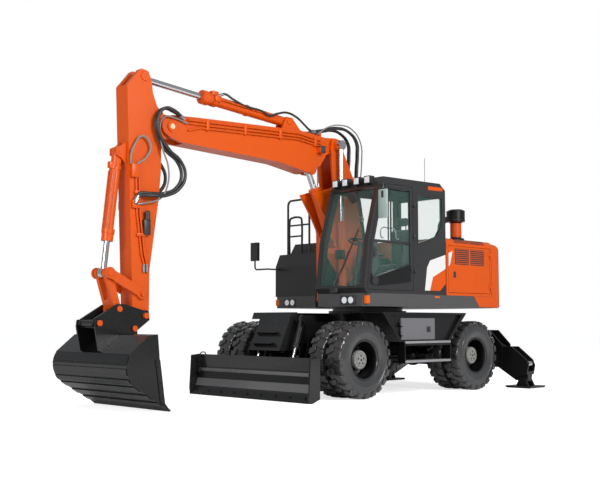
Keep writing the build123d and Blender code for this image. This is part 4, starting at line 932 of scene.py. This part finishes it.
for drop in (0.0, 0.044, 0.088):
    line = [(1.18, 3.69), (1.62, 3.735), (3.42, 3.64), (3.62, 3.63 if drop < 0.06 else 3.58)]
    boom_pipes.append(run("pipe", [(x, 0.157, z - drop) for x, z in line], 0.013))
for x, z in ((1.3, 3.702), (2.0, 3.715), (2.65, 3.681), (3.3, 3.646)):
    boom_pipes.append(slab("clamp", (x - 0.022, 0.138, z - 0.112), (x + 0.022, 0.176, z + 0.024), 0.006))
for shift in (0.0, 0.045):
    line = [(4.395 - shift, 2.8), (4.375 - shift, 2.35), (4.3 - shift, 1.85), (4.265 - shift, 1.74)]
    arm_pipes.append(run("pipe", [(x, 0.142, z) for x, z in line], 0.012))
for x, z in ((4.35, 2.62), (4.31, 2.1)):
    arm_pipes.append(slab("clamp", (x - 0.055, 0.123, z - 0.02), (x + 0.065, 0.16, z + 0.02), 0.005))
arm_pipes += [slab("valve", (4.365, 0.122, 2.8), (4.47, 0.172, 2.965), 0.008),
              slab("valve", (4.345, 0.122, 2.42), (4.45, 0.165, 2.52), 0.008)]
plated = [stud("coupling", (x, 0.142, 1.64), (x, 0.142, 1.74), 0.019, 6) for x in (4.265, 4.22)]
lamp_bracket = slab("lamp_bracket", (1.16, 0.138, 3.5), (1.25, 0.228, 3.59), 0.006)
grouped("boom_pipes", both_sides(boom_pipes) + [lamp_bracket], "front_boom", ORANGE)
grouped("arm_pipes", both_sides(arm_pipes), "arm", ORANGE)
grouped("arm_couplings", both_sides(plated), "arm", ZINC)
accumulator = [slab("valve_body", (4.19, 0.122, 2.1), (4.285, 0.175, 2.29), 0.008),
               stud("accumulator", (4.235, 0.165, 2.28), (4.235, 0.165, 2.4), 0.032, 24, 0.012)]
grouped("arm_valve", accumulator, "arm", BLACK_PLASTIC)
CREAM = ("pale_paint", sprayed_enamel("cream_cap_enamel", "#E6D3A8", 0.4, 0.9))
caps = [stud("pin_cap", (3.86, sign * 0.15, 3.51), (3.86, sign * 0.16, 3.51), 0.036, 32, 0.003)
        for sign in (1, -1)]
grouped("boom_tip_caps", caps, "front_boom", CREAM)
head = [stud("flange", (3.186, 0, 4.008), (3.29, 0, 4.016), 0.096, 40, 0.006),
        stud("flange", (3.05, 0, 3.998), (3.12, 0, 4.003), 0.088, 40, 0.004),
        stud("clamp", (2.485, 0, 3.955), (2.515, 0, 3.958), 0.081, 40, 0.003),
        slab("port", (3.02, -0.045, 4.04), (3.13, 0.045, 4.125), 0.01),
        slab("port", (3.02, 0.05, 3.97), (3.12, 0.105, 4.05), 0.01),
        run("pipe", [(2.02, 0.082, 3.93), (2.5, 0.092, 3.966), (3.05, 0.092, 4.01)], 0.011)]
grouped("arm_cylinder_fittings", head, "arm_barrel", ORANGE)
barrel_rings = [stud("flange", (4.688, 0, 2.155), (4.6955, 0, 2.095), 0.079, 40, 0.005),
                stud("flange", (4.6, 0, 2.935), (4.606, 0, 2.885), 0.071, 40, 0.004),
                slab("port", (4.63, -0.03, 2.9), (4.7, 0.03, 2.98), 0.008)]
grouped("bucket_cylinder_fittings", barrel_rings, "bucket_barrel", ORANGE)
pipe_line = [(4.6, 0.062, 2.96), (4.655, 0.062, 2.86), (4.735, 0.062, 2.13), (4.71, 0.062, 2.06)]
grouped("bucket_cylinder_pipes", both_sides([run("pipe", pipe_line, 0.011)]), "bucket_barrel", ORANGE)

# ---- hydraulic hoses ----
# Wire-braided rubber hoses in bundles over the boom's knuckle and in hanging loops round the arm's
# pivot, clamped at both ends, and at the base boom's foot. Each lies over the joint that it crosses,
# fixed in place.
HOSE = ("tyre_rubber", moulded_rubber("wire_braid_hose_rubber", "#202022", 0.38, 3.0))
SLEEVE = ("tyre_rubber", moulded_rubber("grey_nylon_hose_sleeve", "#6E6A66", 0.55, 2.0))
OVER_KNUCKLE = ("front_boom", "base_boom", (1.02, 0, 3.84), (0.4, 0, 3.72))
OVER_FOOT = ("base_boom", "upper", (0.2, 0, 2.1), (0.1, 0, 1.6))
ROUND_PIVOT = ("front_boom", "arm", (4.05, 0, 3.5), (3.92, 0, 2.95))
ALONG_CYLINDER = ("arm_barrel", "front_boom", (2.3, 0, 3.95), (1.6, 0, 3.93))
ferrules = {"front_boom": [], "arm": [], "base_boom": [], "arm_barrel": []}


def hydraulic_hose(name, points, radius, finish, bodies):
    """A hose over a joint, with a plated ferrule at each end."""
    for body, (a, b) in zip(bodies[:2], (points[:2], points[-1:-3:-1])):
        way = (Vector(b) - Vector(a)).normalized()
        ferrules[body].append(stud("ferrule", Vector(a) - way * 0.03, Vector(a) + way * 0.05,
                                   radius * 1.22, 12))
    settle(hose(name, points, radius), bodies, finish, 60)


KNUCKLE_LINE = ((1.3, 3.805), (1.15, 3.835), (1.036, 3.862), (0.78, 3.935), (0.52, 3.915), (0.345, 3.78),
                (0.325, 3.58), (0.345, 3.35), (0.345, 3.12), (0.285, 2.86), (0.235, 2.6))
HOSE_ROWS = (0.108, 0.07, -0.07, -0.108)
for k, y in enumerate(HOSE_ROWS):
    lift = 0.018 * (k % 2)
    points = [(x - lift if x < 0.9 else x, y, z + lift if x > 0.3 and z > 3.7 else z)
              for x, z in KNUCKLE_LINE]
    hydraulic_hose(f"knuckle_hose_{k + 1}", points, 0.022, HOSE, OVER_KNUCKLE)
pale_line = [(1.22, 0.132, 3.79), (1.05, 0.135, 3.9), (0.78, 0.135, 3.985), (0.46, 0.135, 3.95),
             (0.285, 0.135, 3.77), (0.265, 0.135, 3.5), (0.29, 0.13, 3.2)]
hydraulic_hose("knuckle_signal_hose", pale_line, 0.01, SLEEVE, OVER_KNUCKLE)
LOOP = ((3.72, 3.645), (3.88, 3.7), (4.003, 3.715), (4.109, 3.625), (4.121, 3.417), (3.985, 3.19),
        (3.8, 3.06), (3.73, 2.894), (3.802, 2.733), (3.986, 2.64), (4.213, 2.616), (4.36, 2.6),
        (4.405, 2.53))
for k, (y, grow) in enumerate(((0.172, 0.0), (0.213, 0.03), (-0.172, 0.0), (-0.213, 0.03))):
    clamp_y = math.copysign(0.162, y)
    points = [(x - (grow if 2.7 < z < 3.3 else 0), clamp_y if i in (0, 11, 12) else y,
               z - (grow if z < 2.7 else 0)) for i, (x, z) in enumerate(LOOP)]
    hydraulic_hose(f"arm_loop_hose_{k + 1}", points, 0.022, HOSE, ROUND_PIVOT)
THIN = ((3.66, 3.585), (3.85, 3.62), (4.02, 3.6), (4.085, 3.46), (4.04, 3.2), (3.95, 2.98), (3.957, 2.742),
        (4.062, 2.568), (4.24, 2.5), (4.36, 2.475))
for sign in (1, -1):
    points = [(x, sign * (0.19 if 2 <= i <= 7 else 0.165), z) for i, (x, z) in enumerate(THIN)]
    hydraulic_hose(f"arm_signal_hose_{'left' if sign > 0 else 'right'}", points, 0.011, SLEEVE, ROUND_PIVOT)
cylinder_line = [(2.985, 0.02, 4.085), (2.93, 0.05, 4.105), (2.8, 0.085, 4.045), (2.6, 0.098, 3.985),
                 (2.3, 0.1, 3.965), (2.144, 0.102, 3.925), (2.0, 0.104, 3.975), (1.816, 0.106, 4.015),
                 (1.62, 0.106, 3.975), (1.48, 0.104, 3.9), (1.36, 0.1, 3.835), (1.22, 0.1, 3.8)]
hydraulic_hose("arm_cylinder_hose", cylinder_line, 0.016, HOSE, ALONG_CYLINDER)
loop_line = [(4.475, 0.14, 2.96), (4.48, 0.158, 3.08), (4.439, 0.166, 3.191), (4.324, 0.168, 3.319),
             (4.203, 0.166, 3.223), (4.26, 0.16, 3.065), (4.391, 0.15, 2.965)]
settle(hose("arm_sleeved_loop", loop_line, 0.014), "arm", SLEEVE, 60)
FOOT_LINE = ((0.1, 1.425), (0.098, 1.5), (0.07, 1.62), (0.085, 1.8), (0.12, 2.05), (0.18, 2.33),
             (0.235, 2.6))
foot_hoses = [hose("hose", [(x, y, z) for x, z in FOOT_LINE], 0.019) for y in HOSE_ROWS]
grouped("base_boom_hoses", foot_hoses, OVER_FOOT, HOSE, 60)
for body, pieces in ferrules.items():
    grouped(f"hose_ferrules_{body}", pieces, body, ZINC)
saddles = [slab("saddle", (0.205, -0.125, 2.585), (0.33, 0.125, 2.625), 0.006),
           slab("saddle", (0.29, -0.125, 3.05), (0.46, 0.125, 3.09), 0.006)]
grouped("base_boom_saddles", saddles, "base_boom", ORANGE)
settle(slab("front_boom_saddle", (1.15, -0.14, 3.755), (1.19, 0.14, 3.835), 0.006), "front_boom", ORANGE)

# ---- bucket and blade wear parts ----
# Hardened strips welded across the bucket's bowl and bolted side cutters, a bolted cutting edge and
# a pressed rib on the blade, orange pin heads, the blade's two hook rods, and the step boxes' treads.
BOWL = ((4.337, 0.0), (4.408, 0.057), (4.548, 0.134), (4.714, 0.233), (4.863, 0.329), (4.917, 0.409),
        (4.946, 0.543), (4.895, 0.675), (4.79, 0.76))
STRIP = 0.012
wear = []
for (x0, z0), (x1, z1) in list(zip(BOWL, BOWL[1:]))[1:7]:
    size = math.hypot(x1 - x0, z1 - z0)
    out_x, out_z = (z1 - z0) / size * STRIP, -(x1 - x0) / size * STRIP
    ends = [(x0 + (x1 - x0) * share, z0 + (z1 - z0) * share) for share in (0.2, 0.75)]
    wear.append(panel("wear_strip", ends + [(x + out_x, z + out_z) for x, z in ends[::-1]], -0.8, 0.8))
cutter = [(4.337, 0.004), (4.408, 0.057), (4.478, 0.11), (4.555, 0.6), (4.49, 0.6), (4.415, 0.1)]
wear += [panel("side_cutter", cutter, sign * 0.806, sign * 0.822) for sign in (1, -1)]
for sign in (1, -1):
    wear += [stud("bolt", (x, sign * 0.815, z), (x, sign * 0.83, z), 0.014, 6)
             for x, z in ((4.452, 0.16), (4.482, 0.34), (4.515, 0.52))]
grouped("bucket_wear_parts", wear, "bucket", GLOSS_BLACK)
for name, inner_y, outer_y, pins in (("bucket_pin_heads", 0.224, 0.242, ((4.93, 1.02), (4.44, 0.955))),
                                     ("coupler_pin_heads", 0.16, 0.18, ((4.62, 1.19),))):
    heads = [stud("pin_head", (x, sign * inner_y, z), (x, sign * outer_y, z), 0.036, 32, 0.004)
             for sign in (1, -1) for x, z in pins]
    grouped(name, heads, "bucket", ORANGE)
cutting_edge = [(2.48, 0.004), (2.494, 0.004), (2.424, 0.108), (2.408, 0.104)]
pressed_rib = [(2.352, 0.236), (2.366, 0.232), (2.357, 0.33), (2.342, 0.33)]
blade_parts = [panel("blade_strip", outline, -1.213, 1.213) for outline in (cutting_edge, pressed_rib)]
for y in (-1.12 + 0.28 * k for k in range(9)):
    blade_parts.append(stud("bolt", (2.445, y, 0.06), (2.466, y, 0.072), 0.015, 6))
grouped("blade_wear_parts", blade_parts, "blade", GLOSS_BLACK)
WORN_STEEL = ("chrome_rod", sprayed_enamel("earth_polished_steel", "#79797A", 0.32, 0.7, metal=0.1, coat=0.1))
band = [(2.404, 0.125), (2.349, 0.262), (2.341, 0.375), (2.336, 0.375), (2.343, 0.262), (2.398, 0.125)]
settle(panel("blade_worn_band", band, -1.205, 1.205, 0.0005), "blade", WORN_STEEL)
treads = []
for z in (0.4875, 0.7585):
    treads.append(slab("tread", (-0.44, 1.06, z), (0.61, 1.2525, z + 0.006), 0.002))
    treads.append(slab("nosing", (-0.44, 1.249, z - 0.026), (0.61, 1.2535, z + 0.006), 0.0015))
grouped("step_treads", both_sides(treads), "chassis", PALE_GREY)
handle = [slab("plate", (0.0, 1.218, 0.89), (0.08, 1.2255, 0.97), 0.003),
          stud("turn", (0.04, 1.222, 0.93), (0.04, 1.232, 0.93), 0.022)]
grouped("toolbox_latch", handle, "toolbox_door", BLACK_PLASTIC)
HOOK_Y = 1.13
HOOK = ((2.29, 0.5), (2.285, 0.585), (2.325, 0.6), (2.372, 0.585), (2.385, 0.5), (2.385, 0.36))
hook = [hose("hook", [(x, HOOK_Y, z) for x, z in HOOK], 0.008),
        stud("knob", (2.385, HOOK_Y, 0.31), (2.385, HOOK_Y, 0.37), 0.016, 16, 0.005)]
grouped("blade_hook_rods", both_sides(hook), "blade", GLOSS_BLACK)

low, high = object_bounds()
